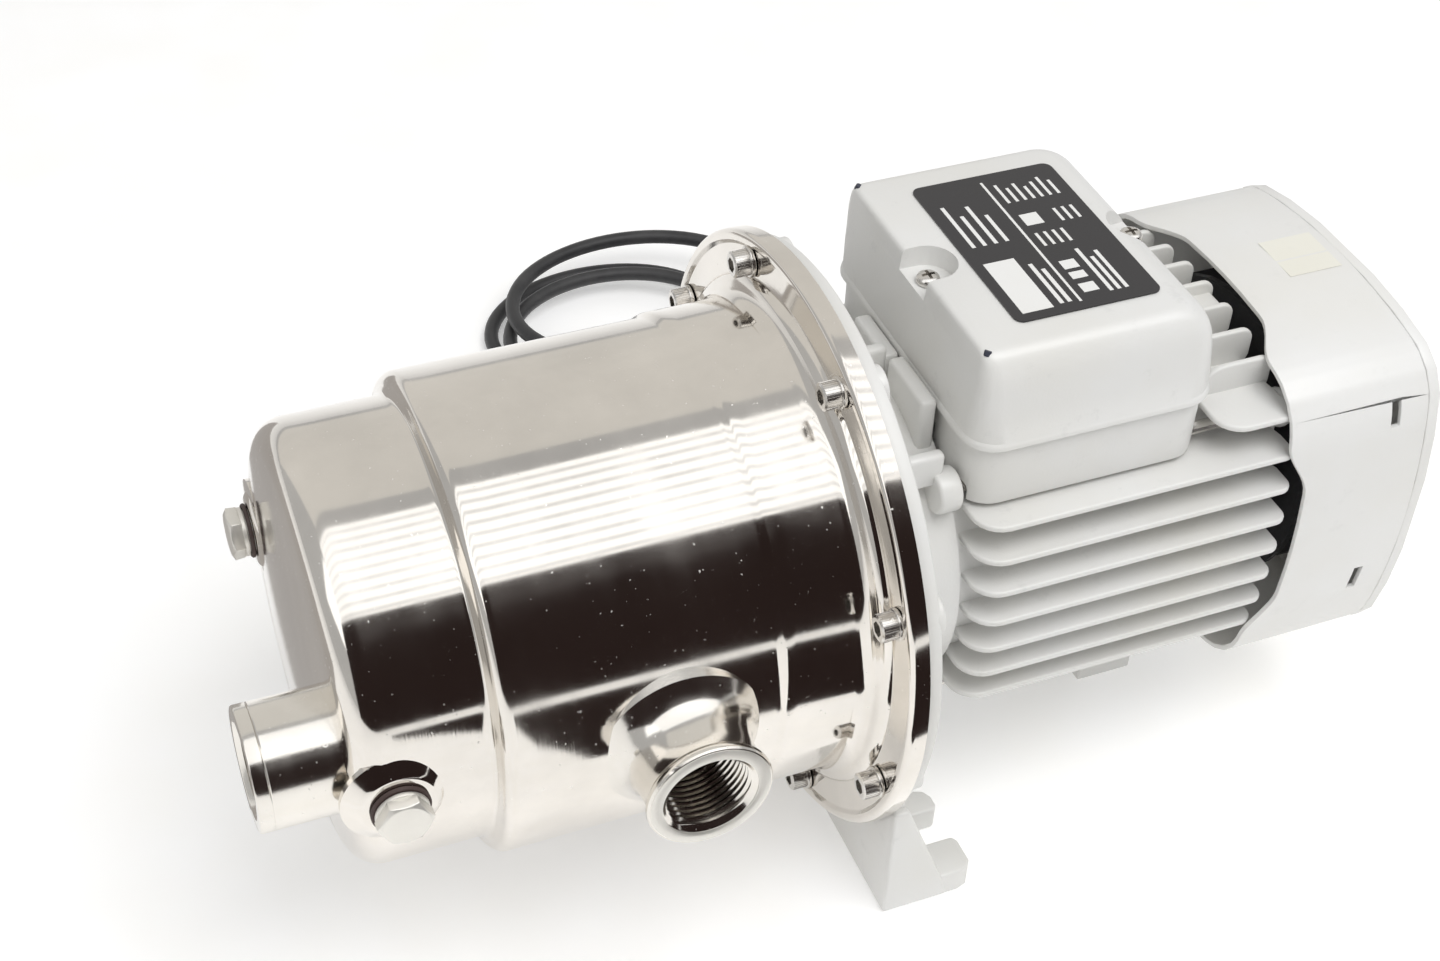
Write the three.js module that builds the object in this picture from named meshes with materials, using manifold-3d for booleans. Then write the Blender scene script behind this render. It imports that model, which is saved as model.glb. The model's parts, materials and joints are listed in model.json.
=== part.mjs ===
// Shallow well jet pump: a stainless pressed-steel self-priming jet pump on a small finned motor.
// Millimetres, +Z up. The pump axis runs along X, the suction port looks to -X and the discharge
// port to -Y. Pieces are drawn in the pump frame, whose X = 0 is the joint between the casing and the
// bracket and whose Z = 0 is the shaft's axis. The last lines move that frame so that the origin is
// under the middle of the pump, on the surface that its feet stand on.
import * as THREE from "three";
import { mergeVertices } from "three/addons/utils/BufferGeometryUtils.js";
import Module from "manifold-3d";

const wasm = await Module();
wasm.setup();

// ---- Driving dimensions ----
const AXIS_HEIGHT = 116; // shaft axis above the floor
const MOUTH_X = -220; // face of the suction socket
const REAR_X = 226; // back of the fan grille
const GAP = 0.3; // between touching pieces
const ROUND = 32; // segments of a large turned piece
const FINE = 16; // segments of a small turned piece

const SHEET = 2; // casing wall
const NOSE_R = 80.5; // front drum
const DRUM_R = 88; // main drum
const REAR_R = 89.5; // expanded rear end of the drum
const RIM_R = 113.7; // outside of the casing's rim
const SEAT_X = -6.4; // annular seat of the flange screws
const SCREW_CIRCLE_R = 103.7;
const SCREW_COUNT = 8;
const SUCTION_Y = -49.5;
const SOCKET_R = 22; // outside of both threaded sockets
const THREAD_BORE_R = 15.15; // G1 thread's core
const DISCHARGE_X = -79;
const DISCHARGE_Y = -113;
const DRAIN_Y = 65;
const PRIMING_X = -176;
const PLUG_HEX = 17; // across flats
const PLUG_SHANK_R = 8.2;
const BRACKET_R = 110;
const DISC_END_X = 6.5; // back of the bracket's disc
const NECK_END_X = 36; // where the motor housing starts
const FOOT_HALF_Y = 98.2;
const FOOT_TOP_Z = -105; // top of the foot pads
const FLOOR_Z = -AXIS_HEIGHT;
const HOUSING_BORE_R = 55.4;
const HOUSING_R = 60;
const HOUSING_END_X = 163;
const FIN_PITCH = 14;
const FIN_REACH = 74; // fin tips in the middle of each side
const FIN_END_X = 167;
const ROD_OFFSET = 49.5; // tie rods from the axis, in Y and in Z
const COVER_HALF = 75.5;
const COVER_START_X = 171;
const COVER_END_X = 221;
const SHAFT_R = 8.5;
const BOX_LEFT_X = 37.5;
const BOX_RIGHT_X = 132;
const BOX_HALF_Y = 58.5;
const BOX_BOTTOM_Z = 45.5;
const PARTING_Z = 71;
const LID_TOP_Z = 110.4;
const LID_SCREW_X = [44, 125.5];
const GLAND_X = 85;
const GLAND_Z = 58;
const CORD_D = 7;

// ---- Materials ----
const finish = (color, roughness, metalness) => () =>
  new THREE.MeshStandardMaterial({ color, roughness, metalness });
const stainless = finish(0xc9c5bd, 0.22, 1);
const screwSteel = finish(0xbdb9b0, 0.3, 1);
const darkSteel = finish(0x77777a, 0.4, 1);
const paint = finish(0xdddcd6, 0.45, 0);
const greyPlastic = finish(0xd6d5cf, 0.5, 0);
const blackPlastic = finish(0x1d1d20, 0.5, 0);
const pumpPlastic = finish(0x2b2b2e, 0.55, 0);
const rubber = finish(0x17171a, 0.7, 0);
const fibre = finish(0x6f2f22, 0.8, 0);
const carbon = finish(0x2a2a2a, 0.6, 0);
const ceramic = finish(0xf0eee6, 0.3, 0);
const copper = finish(0xb4623a, 0.4, 1);
const lamination = finish(0x8a8a8a, 0.5, 1);
const labelBlack = finish(0x222126, 0.5, 0);

// ---- Solids ----
function toSolid(geometry) {
  const bare = geometry.clone();
  bare.deleteAttribute("normal");
  bare.deleteAttribute("uv");
  const merged = mergeVertices(bare, 1e-4);
  const corners = merged.index.array;
  const kept = [];
  for (let i = 0; i < corners.length; i += 3) {
    const [a, b, c] = [corners[i], corners[i + 1], corners[i + 2]];
    if (a !== b && b !== c && c !== a) kept.push(a, b, c);
  }
  const make = (triVerts) =>
    new wasm.Manifold(
      new wasm.Mesh({
        numProp: 3,
        vertProperties: merged.attributes.position.array,
        triVerts,
      }),
    );
  const solid = make(new Uint32Array(kept));
  return solid.volume() > 0 ? solid : make(new Uint32Array(kept).reverse());
}

const turnToX = new THREE.Matrix4().makeRotationZ(-Math.PI / 2);

// A solid turned about the X axis from [x, radius] points. A profile off the axis closes on itself.
function turned(profile, segments = ROUND) {
  const points = profile.map(([x, r]) => new THREE.Vector2(r, x));
  if (profile[0][1] > 0) points.push(points[0].clone());
  return toSolid(
    new THREE.LatheGeometry(points, segments).applyMatrix4(turnToX),
  );
}

function ring(inner, outer, start, end, segments = ROUND) {
  const profile = [
    [start, inner],
    [start, outer],
    [end, outer],
    [end, inner],
  ];
  return turned(profile, segments);
}

// Points of an arc in [x, radius], angles in degrees from the X axis.
function arc(x, r, radius, from, to, steps) {
  return Array.from({ length: steps + 1 }, (_, i) => {
    const angle = THREE.MathUtils.degToRad(from + ((to - from) * i) / steps);
    return [x + radius * Math.cos(angle), r + radius * Math.sin(angle)];
  });
}

// Moves an open [x, radius] line to its right by a distance, along its corners' normals.
function offsetLine(line, distance) {
  return line.map(([x, r], i) => {
    const [ax, ar] = line[Math.max(i - 1, 0)];
    const [bx, br] = line[Math.min(i + 1, line.length - 1)];
    const size = Math.hypot(bx - ax, br - ar);
    const moved = [
      x + ((br - ar) / size) * distance,
      r - ((bx - ax) / size) * distance,
    ];
    return r === 0 ? [x + distance, 0] : moved;
  });
}

function rod(radius, from, to, segments = FINE, endRadius = radius) {
  const start = new THREE.Vector3(...from);
  const end = new THREE.Vector3(...to);
  const along = end.clone().sub(start);
  const geometry = new THREE.CylinderGeometry(
    endRadius,
    radius,
    along.length(),
    segments,
  );
  const turn = new THREE.Quaternion().setFromUnitVectors(
    new THREE.Vector3(0, 1, 0),
    along.normalize(),
  );
  geometry.applyQuaternion(turn);
  const middle = start.add(end).multiplyScalar(0.5);
  return toSolid(geometry.translate(middle.x, middle.y, middle.z));
}

function block(low, high) {
  const size = high.map((v, i) => v - low[i]);
  const middle = high.map((v, i) => (v + low[i]) / 2);
  return toSolid(new THREE.BoxGeometry(...size).translate(...middle));
}

// A rounded rectangle, as a THREE.Shape.
function roundedRectangle(left, right, low, high, radius) {
  const shape = new THREE.Shape();
  shape.absarc(right - radius, low + radius, radius, -Math.PI / 2, 0);
  shape.absarc(right - radius, high - radius, radius, 0, Math.PI / 2);
  shape.absarc(left + radius, high - radius, radius, Math.PI / 2, Math.PI);
  shape.absarc(left + radius, low + radius, radius, Math.PI, 1.5 * Math.PI);
  return shape;
}

// Extrudes a shape drawn in (Y, Z) along X, or a shape drawn in (X, Y) along Z.
const drawnAcrossX = new THREE.Matrix4().makeBasis(
  new THREE.Vector3(0, 1, 0),
  new THREE.Vector3(0, 0, 1),
  new THREE.Vector3(1, 0, 0),
);
function extrudedX(shape, start, end, curveSegments = 4) {
  const geometry = new THREE.ExtrudeGeometry(shape, {
    depth: end - start,
    bevelEnabled: false,
    curveSegments,
  });
  return toSolid(geometry.applyMatrix4(drawnAcrossX).translate(start, 0, 0));
}
function extrudedZ(shape, low, high, curveSegments = 4) {
  const geometry = new THREE.ExtrudeGeometry(shape, {
    depth: high - low,
    bevelEnabled: false,
    curveSegments,
  });
  return toSolid(geometry.translate(0, 0, low));
}

function polygon(points) {
  return new THREE.Shape(points.map(([x, y]) => new THREE.Vector2(x, y)));
}

const joined = (first, ...others) => others.reduce((a, b) => a.add(b), first);
const cut = (first, ...others) => others.reduce((a, b) => a.subtract(b), first);
const hexRadius = (acrossFlats) => acrossFlats / Math.sqrt(3);

const pump = new THREE.Group();
function addPiece(name, solid, material, parent = pump) {
  const mesh = solid.getMesh();
  const geometry = new THREE.BufferGeometry();
  const count = mesh.numProp;
  const positions = new Float32Array(mesh.numVert * 3);
  for (let i = 0; i < mesh.numVert; i++)
    positions.set(mesh.vertProperties.subarray(i * count, i * count + 3), i * 3);
  geometry.setAttribute("position", new THREE.BufferAttribute(positions, 3));
  geometry.setIndex(new THREE.BufferAttribute(mesh.triVerts, 1));
  geometry.computeVertexNormals();
  const piece = new THREE.Mesh(geometry, material());
  piece.name = name;
  parent.add(piece);
}

// Positions [y, z] of the flange screws, half a step off the top.
const screwPlaces = Array.from({ length: SCREW_COUNT }, (_, i) => {
  const angle = ((i + 0.5) / SCREW_COUNT) * 2 * Math.PI;
  return [SCREW_CIRCLE_R * Math.cos(angle), SCREW_CIRCLE_R * Math.sin(angle)];
});
const corners = [
  [1, 1],
  [-1, 1],
  [-1, -1],
  [1, -1],
];

// ---- Pump casing, pressed and welded stainless sheet ----
const NOSE_CORNER = 13;
const SHOULDER = 5;
const FLANGE_BEND = 6;
const casingLine = [
  [-192.4, 0],
  [-191.2, 50],
  ...arc(-178, NOSE_R - NOSE_CORNER, NOSE_CORNER, 180, 90, 3),
  [-143, NOSE_R],
  [-140.5, DRUM_R - SHOULDER],
  ...arc(-135.5, DRUM_R - SHOULDER, SHOULDER, 150, 90, 2),
  [-44, DRUM_R],
  [-41, REAR_R],
  ...arc(-14, REAR_R + FLANGE_BEND, FLANGE_BEND, -90, -10, 2),
  [-7.2, 96.6],
  [SEAT_X, 97.2],
  [SEAT_X, 111.3],
  [-4.5, RIM_R],
  [-GAP, RIM_R],
];
const casingInside = [
  [-190.4, 0],
  [-189.2, 50],
  ...arc(-178, NOSE_R - NOSE_CORNER, NOSE_CORNER - SHEET, 180, 90, 2),
  [-141, NOSE_R - SHEET],
  [-138, DRUM_R - SHEET],
  [-43, DRUM_R - SHEET],
  [-40, REAR_R - SHEET],
  [-13.5, REAR_R - SHEET],
  [-8, 92.5],
  [SEAT_X + SHEET, 98.5],
  [SEAT_X + SHEET, RIM_R - SHEET],
  [-GAP, RIM_R - SHEET],
];
const casingShell = turned([...casingLine, ...casingInside.reverse()]);
const outsideLine = offsetLine(casingLine, -GAP);
const casingEnvelope = turned([...outsideLine, [-GAP, 0]]);

const BOSS_R = 13;
const DRAIN_SEAT_X = -192;
const PRIMING_SEAT_Y = -82.2;
const plugHoleR = PLUG_SHANK_R + GAP;
const drainBoss = rod(BOSS_R, [DRAIN_SEAT_X, DRAIN_Y, 0], [-180, DRAIN_Y, 0]);
const primingBoss = rod(
  BOSS_R,
  [PRIMING_X, PRIMING_SEAT_Y, 0],
  [PRIMING_X, -72, 0],
);
const screwHoles = screwPlaces.map(([y, z]) =>
  rod(3.4, [-20, y, z], [20, y, z], 8),
);
addPiece(
  "pump_casing",
  cut(
    joined(casingShell, drainBoss, primingBoss),
    rod(plugHoleR, [-200, DRAIN_Y, 0], [-170, DRAIN_Y, 0]),
    rod(plugHoleR, [PRIMING_X, -95, 0], [PRIMING_X, -60, 0]),
    rod(THREAD_BORE_R + 2, [-200, SUCTION_Y, 0], [-180, SUCTION_Y, 0]),
    rod(THREAD_BORE_R + 2, [DISCHARGE_X, -95, 0], [DISCHARGE_X, -70, 0]),
    ...screwHoles,
  ),
  stainless,
);

// The sockets are turned about X, then stood where they are welded on.
const suctionSocket = turned(
  [
    [MOUTH_X, THREAD_BORE_R + 1],
    [MOUTH_X, SOCKET_R - 0.5],
    [MOUTH_X + 0.5, SOCKET_R],
    [-182, SOCKET_R],
    [-182, THREAD_BORE_R],
    [MOUTH_X + 1.5, THREAD_BORE_R],
  ],
  32,
).translate([0, SUCTION_Y, 0]);
addPiece("suction_socket", suctionSocket.subtract(casingEnvelope), stainless);

const NECK_R = 20.8;
const dischargeSocket = turned(
  [
    [DISCHARGE_Y, THREAD_BORE_R + 1],
    [DISCHARGE_Y, SOCKET_R + 0.4],
    [DISCHARGE_Y + 3, SOCKET_R + 0.4],
    [DISCHARGE_Y + 6, NECK_R],
    [-97, NECK_R],
    [-91, NECK_R + 2.5],
    [-86, NECK_R + 8],
    [-78, NECK_R + 9],
    [-78, THREAD_BORE_R],
    [DISCHARGE_Y + 1.5, THREAD_BORE_R],
  ],
  32,
)
  .rotate([0, 0, 90])
  .translate([DISCHARGE_X, 0, 0]);
addPiece(
  "discharge_socket",
  dischargeSocket.subtract(casingEnvelope),
  stainless,
);

// ---- Drain and priming plugs: hexagon head, shank and fibre washer, drawn along -X ----
const WASHER = 1.5;
const HEAD = 6.5;
const SHANK = 12;
function plug(seat) {
  const headStart = seat - 2 * GAP - WASHER;
  return joined(
    rod(
      hexRadius(PLUG_HEX),
      [headStart, 0, 0],
      [headStart - HEAD, 0, 0],
      6,
      hexRadius(PLUG_HEX) - 0.6,
    ),
    rod(PLUG_SHANK_R, [headStart + SHANK, 0, 0], [headStart - 1, 0, 0], 20),
  );
}
function plugWasher(seat) {
  return ring(PLUG_SHANK_R + GAP, 12, seat - GAP - WASHER, seat - GAP, FINE);
}
const onDrain = (solid) => solid.translate([0, DRAIN_Y, 0]);
const onPriming = (solid) =>
  solid.rotate([0, 0, 90]).translate([PRIMING_X, 0, 0]);
addPiece("drain_plug", onDrain(plug(DRAIN_SEAT_X)), screwSteel);
addPiece("drain_washer", onDrain(plugWasher(DRAIN_SEAT_X)), fibre);
addPiece("priming_plug", onPriming(plug(PRIMING_SEAT_Y)), screwSteel);
addPiece("priming_washer", onPriming(plugWasher(PRIMING_SEAT_Y)), fibre);

// ---- Flange screws: socket head cap screws with a captive washer ----
screwPlaces.forEach(([y, z], i) => {
  const under = SEAT_X - GAP;
  const screw = cut(
    joined(
      rod(5.8, [under, 0, 0], [under - 1.6, 0, 0], 12),
      rod(5, [under - 1, 0, 0], [under - 7.6, 0, 0], 12),
      rod(3, [8.3, 0, 0], [under - 1, 0, 0], 8),
    ),
    rod(hexRadius(5), [under - 4.6, 0, 0], [under - 9, 0, 0], 6),
  );
  addPiece(`flange_screw_${i + 1}`, screw.translate([0, y, z]), screwSteel);
});

// ---- Casing cover with the seal pocket, and the O-ring that seals it ----
const COVER_FRONT_X = SEAT_X + SHEET + GAP;
const COVER_BACK_X = -GAP - 0.1;
const casingCover = turned([
  [COVER_FRONT_X, 29],
  [COVER_FRONT_X, RIM_R - SHEET - GAP],
  [COVER_BACK_X, RIM_R - SHEET - GAP],
  [COVER_BACK_X, 31.5],
  [12, 31.5],
  [12, 13.5],
  [9.5, 13.5],
  [9.5, 29],
]);
addPiece("casing_cover", cut(casingCover, ...screwHoles), stainless);
addPiece(
  "casing_o_ring",
  turned(arc(-6.2, 90.2, 1.7, 0, 300, 5)),
  rubber,
);

// ---- Jet unit: ejector body, nozzle and venturi ahead of the impeller's eye ----
const ejectorBody = cut(
  joined(
    rod(26, [-178, 0, 0], [-138, 0, 0], 32),
    rod(20, [-186, SUCTION_Y, 0], [-150, SUCTION_Y, 0], 32),
    block([-176, SUCTION_Y, -14], [-150, 0, 14]),
  ),
  rod(22.5, [-174, 0, 0], [-130, 0, 0], 32),
  rod(16.5, [-190, SUCTION_Y, 0], [-154, SUCTION_Y, 0], 32),
  block([-172, SUCTION_Y, -10.5], [-154, 0, 10.5]),
);
addPiece("ejector_body", ejectorBody, pumpPlastic);
addPiece(
  "jet_nozzle",
  turned(
    [
      [-173.5, 7],
      [-173.5, 14],
      [-168, 14],
      [-166, 9],
      [-148, 6.2],
      [-148, 4],
    ],
    FINE,
  ),
  pumpPlastic,
);
addPiece(
  "venturi_tube",
  turned(
    [
      [-146, 14],
      [-146, 22.1],
      [-137.7, 22.1],
      [-137.7, 20],
      [-120, 11.5],
      [-60, 20],
      [-41.4, 22],
      [-41.4, 18.5],
      [-118, 7.5],
      [-128, 7.5],
    ],
    32,
  ),
  pumpPlastic,
);

// ---- Diffuser around the impeller ----
const diffuser = cut(
  turned([
    [-41, 23],
    [-41, 78],
    [-38, 81.5],
    [-6, 81.5],
    [-6, 78.5],
    [-36, 78.5],
    [-38, 76],
    [-38, 23],
  ]),
  block([-30, -8, 70], [-12, 8, 90]),
  block([-30, -8, -90], [-12, 8, -70]),
);
addPiece("diffuser", diffuser, pumpPlastic);

// ---- Rotating group ----
const impellerVanes = Array.from({ length: 6 }, (_, i) =>
  block([-31, 20, -1.2], [-21, 59, 1.2])
    .rotate([20, 0, 0])
    .rotate([i * 60, 0, 0]),
);
const impeller = joined(
  ring(22, 60, -33, -30.5),
  ring(8, 60, -21.5, -19),
  ring(8, 13, -33, -19, FINE),
  ...impellerVanes,
);
addPiece("impeller", impeller, screwSteel);
addPiece(
  "impeller_nut",
  cut(
    rod(hexRadius(17), [-43, 0, 0], [-33.4, 0, 0], 6),
    rod(5.3, [-50, 0, 0], [-30, 0, 0], 16),
  ),
  screwSteel,
);
addPiece(
  "seal_head",
  ring(SHAFT_R + GAP, 19, -14, 3.7, 32),
  carbon,
);
addPiece(
  "seal_seat",
  turned(
    [
      [4, 9.2],
      [4, 18],
      [9.2, 18],
      [9.2, 13.2],
      [13, 13.2],
      [13, 9.2],
    ],
    32,
  ),
  ceramic,
);
addPiece("water_slinger", ring(SHAFT_R + GAP, 22, 16, 18.5, 32), rubber);
addPiece(
  "rotor_shaft",
  turned(
    [
      [-46, 0],
      [-46, 5],
      [-33, 5],
      [-33, 7.7],
      [-18.7, 7.7],
      [-18.7, SHAFT_R],
      [41, SHAFT_R],
      [41, 11],
      [157.5, 11],
      [157.5, SHAFT_R],
      [176, SHAFT_R],
      [178, 7],
      [206, 7],
      [206, 0],
    ],
    32,
  ),
  darkSteel,
);
addPiece("rotor_core", ring(11.3, 31.1, 65, 135), lamination);
const fanBlades = Array.from({ length: 7 }, (_, i) =>
  block([184, 12, -1], [203, 60, 1]).rotate([(i * 360) / 7, 0, 0]),
);
addPiece(
  "cooling_fan",
  joined(
    ring(7.3, 14, 184, 206, FINE),
    ring(12, 60, 181.5, 184.2, 32),
    ...fanBlades,
  ),
  blackPlastic,
);

// ---- Motor bracket with the foot ----
const bracketBody = turned([
  [GAP, 34],
  [GAP, BRACKET_R],
  [DISC_END_X, BRACKET_R],
  [DISC_END_X, 72],
  [14, 66],
  [NECK_END_X, 64],
  [NECK_END_X, 26],
  [40.5, 25],
  [40.5, 20.3],
  [27, 20.3],
  [27, 13],
  [24, 13],
  [24, 26],
  [30, 30],
  [30, 59],
  [DISC_END_X, 62],
  [DISC_END_X, 34],
]);
const discPlate = ring(34, BRACKET_R, GAP, 40);
const screwBosses = screwPlaces.map(([y, z]) =>
  rod(8, [3, y, z], [8.5, y, z], 8).intersect(discPlate),
);
const FOOT_WALL = 5;
const FOOT_REACH_X = 39;
const SLOT_Y = 74;
const SLOT_HALF = 7.2;
const footFront = block(
  [GAP + 0.5, -FOOT_HALF_Y, FLOOR_Z],
  [DISC_END_X, FOOT_HALF_Y, -48],
).subtract(rod(BRACKET_R + GAP, [-5, 0, 0], [20, 0, 0], ROUND));
const gussetShape = polygon([
  [GAP + 0.5, FLOOR_Z],
  [28, FLOOR_Z],
  [7.5, -60],
  [GAP + 0.5, -60],
]);
const gusset = toSolid(
  new THREE.ExtrudeGeometry(gussetShape, {
    depth: FOOT_WALL,
    bevelEnabled: false,
  }).rotateX(Math.PI / 2),
);
const pad = cut(
  extrudedZ(
    roundedRectangle(GAP + 0.5, FOOT_REACH_X, 55, FOOT_HALF_Y, 5),
    FLOOR_Z,
    FOOT_TOP_Z,
    3,
  ),
  rod(SLOT_HALF, [26, SLOT_Y, -130], [26, SLOT_Y, -100], 20),
  block([26, SLOT_Y - SLOT_HALF, -130], [60, SLOT_Y + SLOT_HALF, -100]),
);
const padCorner = block([GAP + 0.5, 55, FLOOR_Z], [8, FOOT_HALF_Y, FOOT_TOP_Z]);
const lugs = joined(
  block([29, -33, 40], [35, -5, 76]),
  block([29, -2, 40], [35, 24, 74]),
);
const rodPlaces = corners.map(([y, z]) => [y * ROD_OFFSET, z * ROD_OFFSET]);
const tieRodEars = rodPlaces.map(([y, z]) => rod(8.5, [28, y, z], [36, y, z]));
const tieRodHoles = rodPlaces.map(([y, z]) =>
  rod(2.8, [31, y, z], [190, y, z], 12),
);
const bracket = cut(
  joined(
    bracketBody,
    ...screwBosses,
    lugs.subtract(rod(60, [20, 0, 0], [40, 0, 0], ROUND)),
    ...tieRodEars,
  ),
  ...screwHoles,
  ...tieRodHoles,
);
addPiece("motor_bracket", bracket, paint);

// The foot is cast with the bracket. It is a piece of its own here, so that its slots stay open.
const footSide = cut(
  joined(gusset.translate([0, FOOT_HALF_Y, 0]), pad, padCorner),
  rod(BRACKET_R + GAP, [-5, 0, 0], [DISC_END_X + GAP, 0, 0], ROUND),
);
addPiece(
  "bracket_foot",
  joined(footFront, footSide, footSide.mirror([0, 1, 0])),
  paint,
);

// ---- Motor: bearings, stator, housing, rear shield ----
addPiece("front_bearing", ring(SHAFT_R + GAP, 20, 27.4, 39.4, 32), screwSteel);
addPiece("rear_bearing", ring(SHAFT_R + GAP, 20, 159, 171, 32), screwSteel);
addPiece("wave_washer", ring(14, 19.7, 171.4, 172.4, 32), darkSteel);
addPiece("stator_core", ring(31.5, HOUSING_BORE_R - GAP, 65, 135), lamination);
addPiece("front_winding", ring(34, 52, 44, 64.7, 32), copper);
addPiece("rear_winding", ring(34, 52, 135.3, 155, 32), copper);

// How far a fin at a distance from the middle of its side stands out from the axis.
const finTip = (offset) => FIN_REACH - 0.0026 * offset * offset;
const FIN_HALF = 1.25;
const FIN_START_X = 40;
const BOX_CLEAR_X = BOX_RIGHT_X + 3; // top fins start behind the terminal box
const finBlocks = [];
for (let k = -3; k <= 3; k++) {
  const at = k * FIN_PITCH;
  const tip = finTip(at);
  const side = (sign) =>
    block(
      [FIN_START_X, sign > 0 ? 40 : -tip, at - FIN_HALF],
      [FIN_END_X, sign > 0 ? tip : -40, at + FIN_HALF],
    );
  finBlocks.push(side(1), side(-1));
  finBlocks.push(
    block([BOX_CLEAR_X, at - FIN_HALF, 40], [FIN_END_X, at + FIN_HALF, tip]),
  );
  finBlocks.push(
    block([FIN_START_X, at - FIN_HALF, -tip], [FIN_END_X, at + FIN_HALF, -40]),
  );
}
const cornerFins = corners.map(([y, z]) => {
  const start = z > 0 ? BOX_CLEAR_X : FIN_START_X;
  return block(
    [start, Math.min(y * 20, y * 64), z * 56 - FIN_HALF],
    [FIN_END_X, Math.max(y * 20, y * 64), z * 56 + FIN_HALF],
  );
});
const BOX_SADDLE_Z = 61.4;
const housing = cut(
  joined(
    ring(HOUSING_BORE_R, HOUSING_R, NECK_END_X + GAP, HOUSING_END_X),
    ...finBlocks,
    ...cornerFins,
    block([BOX_LEFT_X + 4, -28, 50], [BOX_CLEAR_X, 28, BOX_SADDLE_Z]),
    block([132, -13, -75.4], [153, 13, -50]),
    block([150, -11, 50], [166, 1, 73]),
  ),
  rod(HOUSING_BORE_R, [NECK_END_X, 0, 0], [180, 0, 0], ROUND),
  rod(58.4, [HOUSING_END_X, 0, 0], [180, 0, 0], ROUND),
  rod(8, [60, 0, 40], [60, 0, 80], 16),
);
addPiece("motor_housing", housing, paint);

const rearShield = cut(
  joined(
    turned([
      [HOUSING_END_X + GAP, 25],
      [HOUSING_END_X + GAP, 57.5],
      [167, 57.5],
      [170, 27],
      [177, 25.5],
      [177, 13],
      [172.8, 13],
      [172.8, 20.3],
      [158.6, 20.3],
      [158.6, 25],
    ]),
    ...corners.map(([y, z]) =>
      rod(
        7.5,
        [167.4, y * ROD_OFFSET, z * ROD_OFFSET],
        [170.4, y * ROD_OFFSET, z * ROD_OFFSET],
      ),
    ),
    ...corners.map(([y, z]) =>
      block(
        [167.4, Math.min(y * 30, y * ROD_OFFSET), Math.min(z * 30, z * ROD_OFFSET)],
        [170.4, Math.max(y * 30, y * ROD_OFFSET), Math.max(z * 30, z * ROD_OFFSET)],
      ),
    ),
    ring(26, 45, 165, 170.4),
  ),
  ...tieRodHoles,
);
addPiece("rear_shield", rearShield, paint);
corners.forEach(([y, z], i) => {
  const tieRod = joined(
    rod(2.5, [31.5, 0, 0], [171, 0, 0], 12),
    rod(hexRadius(8), [170.7, 0, 0], [174, 0, 0], 6),
  );
  addPiece(
    `tie_rod_${i + 1}`,
    tieRod.translate([0, y * ROD_OFFSET, z * ROD_OFFSET]),
    screwSteel,
  );
});

const SUPPORT_HALF_Y = 16;
addPiece(
  "support_foot",
  joined(
    block([130, -SUPPORT_HALF_Y, FLOOR_Z], [155, SUPPORT_HALF_Y, -108]),
    block([132, -SUPPORT_HALF_Y + 3, -109], [153, SUPPORT_HALF_Y - 3, -75.7]),
  ),
  greyPlastic,
);

// ---- Fan cover and its grille ----
// The section is a square with bulged sides and cut corners.
function coverOutline(half) {
  const chamfer = half - 20;
  const points = [];
  for (let quarter = 0; quarter < 4; quarter++) {
    const turn = (quarter * Math.PI) / 2;
    const place = (x, y) => {
      const px = x * Math.cos(turn) - y * Math.sin(turn);
      const py = x * Math.sin(turn) + y * Math.cos(turn);
      points.push([px, py]);
    };
    place(half, -18);
    place(half, 18);
    place(half - 2.2, 38);
    place(half - 6, chamfer);
    place(half - 11.5, half - 11.5);
    place(chamfer, half - 6);
    place(38, half - 2.2);
  }
  return polygon(points);
}
const coverShell = extrudedX(coverOutline(COVER_HALF), COVER_START_X, COVER_END_X);
const coverInside = extrudedX(coverOutline(COVER_HALF - 2), 160, 240);
addPiece("fan_cover", coverShell.subtract(coverInside), greyPlastic);
const grilleSlots = [];
for (let k = -4; k <= 4; k++) {
  const z = k * 12;
  const reach = Math.sqrt(60 * 60 - z * z);
  grilleSlots.push(
    block([200, 4, z - 3.2], [240, reach, z + 3.2]),
    block([200, -reach, z - 3.2], [240, -4, z + 3.2]),
  );
}
addPiece(
  "fan_grille",
  cut(
    extrudedX(coverOutline(COVER_HALF - 0.6), COVER_END_X + GAP, REAR_X),
    extrudedX(coverOutline(COVER_HALF - 4), 200, REAR_X - 2.5),
    ...grilleSlots,
  ),
  greyPlastic,
);

// ---- Terminal box ----
const WALL = 2.5;
const boxMiddleX = (BOX_LEFT_X + BOX_RIGHT_X) / 2;
const boxOutline = (inset, radius) =>
  roundedRectangle(
    BOX_LEFT_X + inset,
    BOX_RIGHT_X - inset,
    -BOX_HALF_Y + inset,
    BOX_HALF_Y - inset,
    radius,
  );
const lidPosts = LID_SCREW_X.map((x) =>
  rod(3.8, [x, 0, 63], [x, 0, 85], 12),
);
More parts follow.
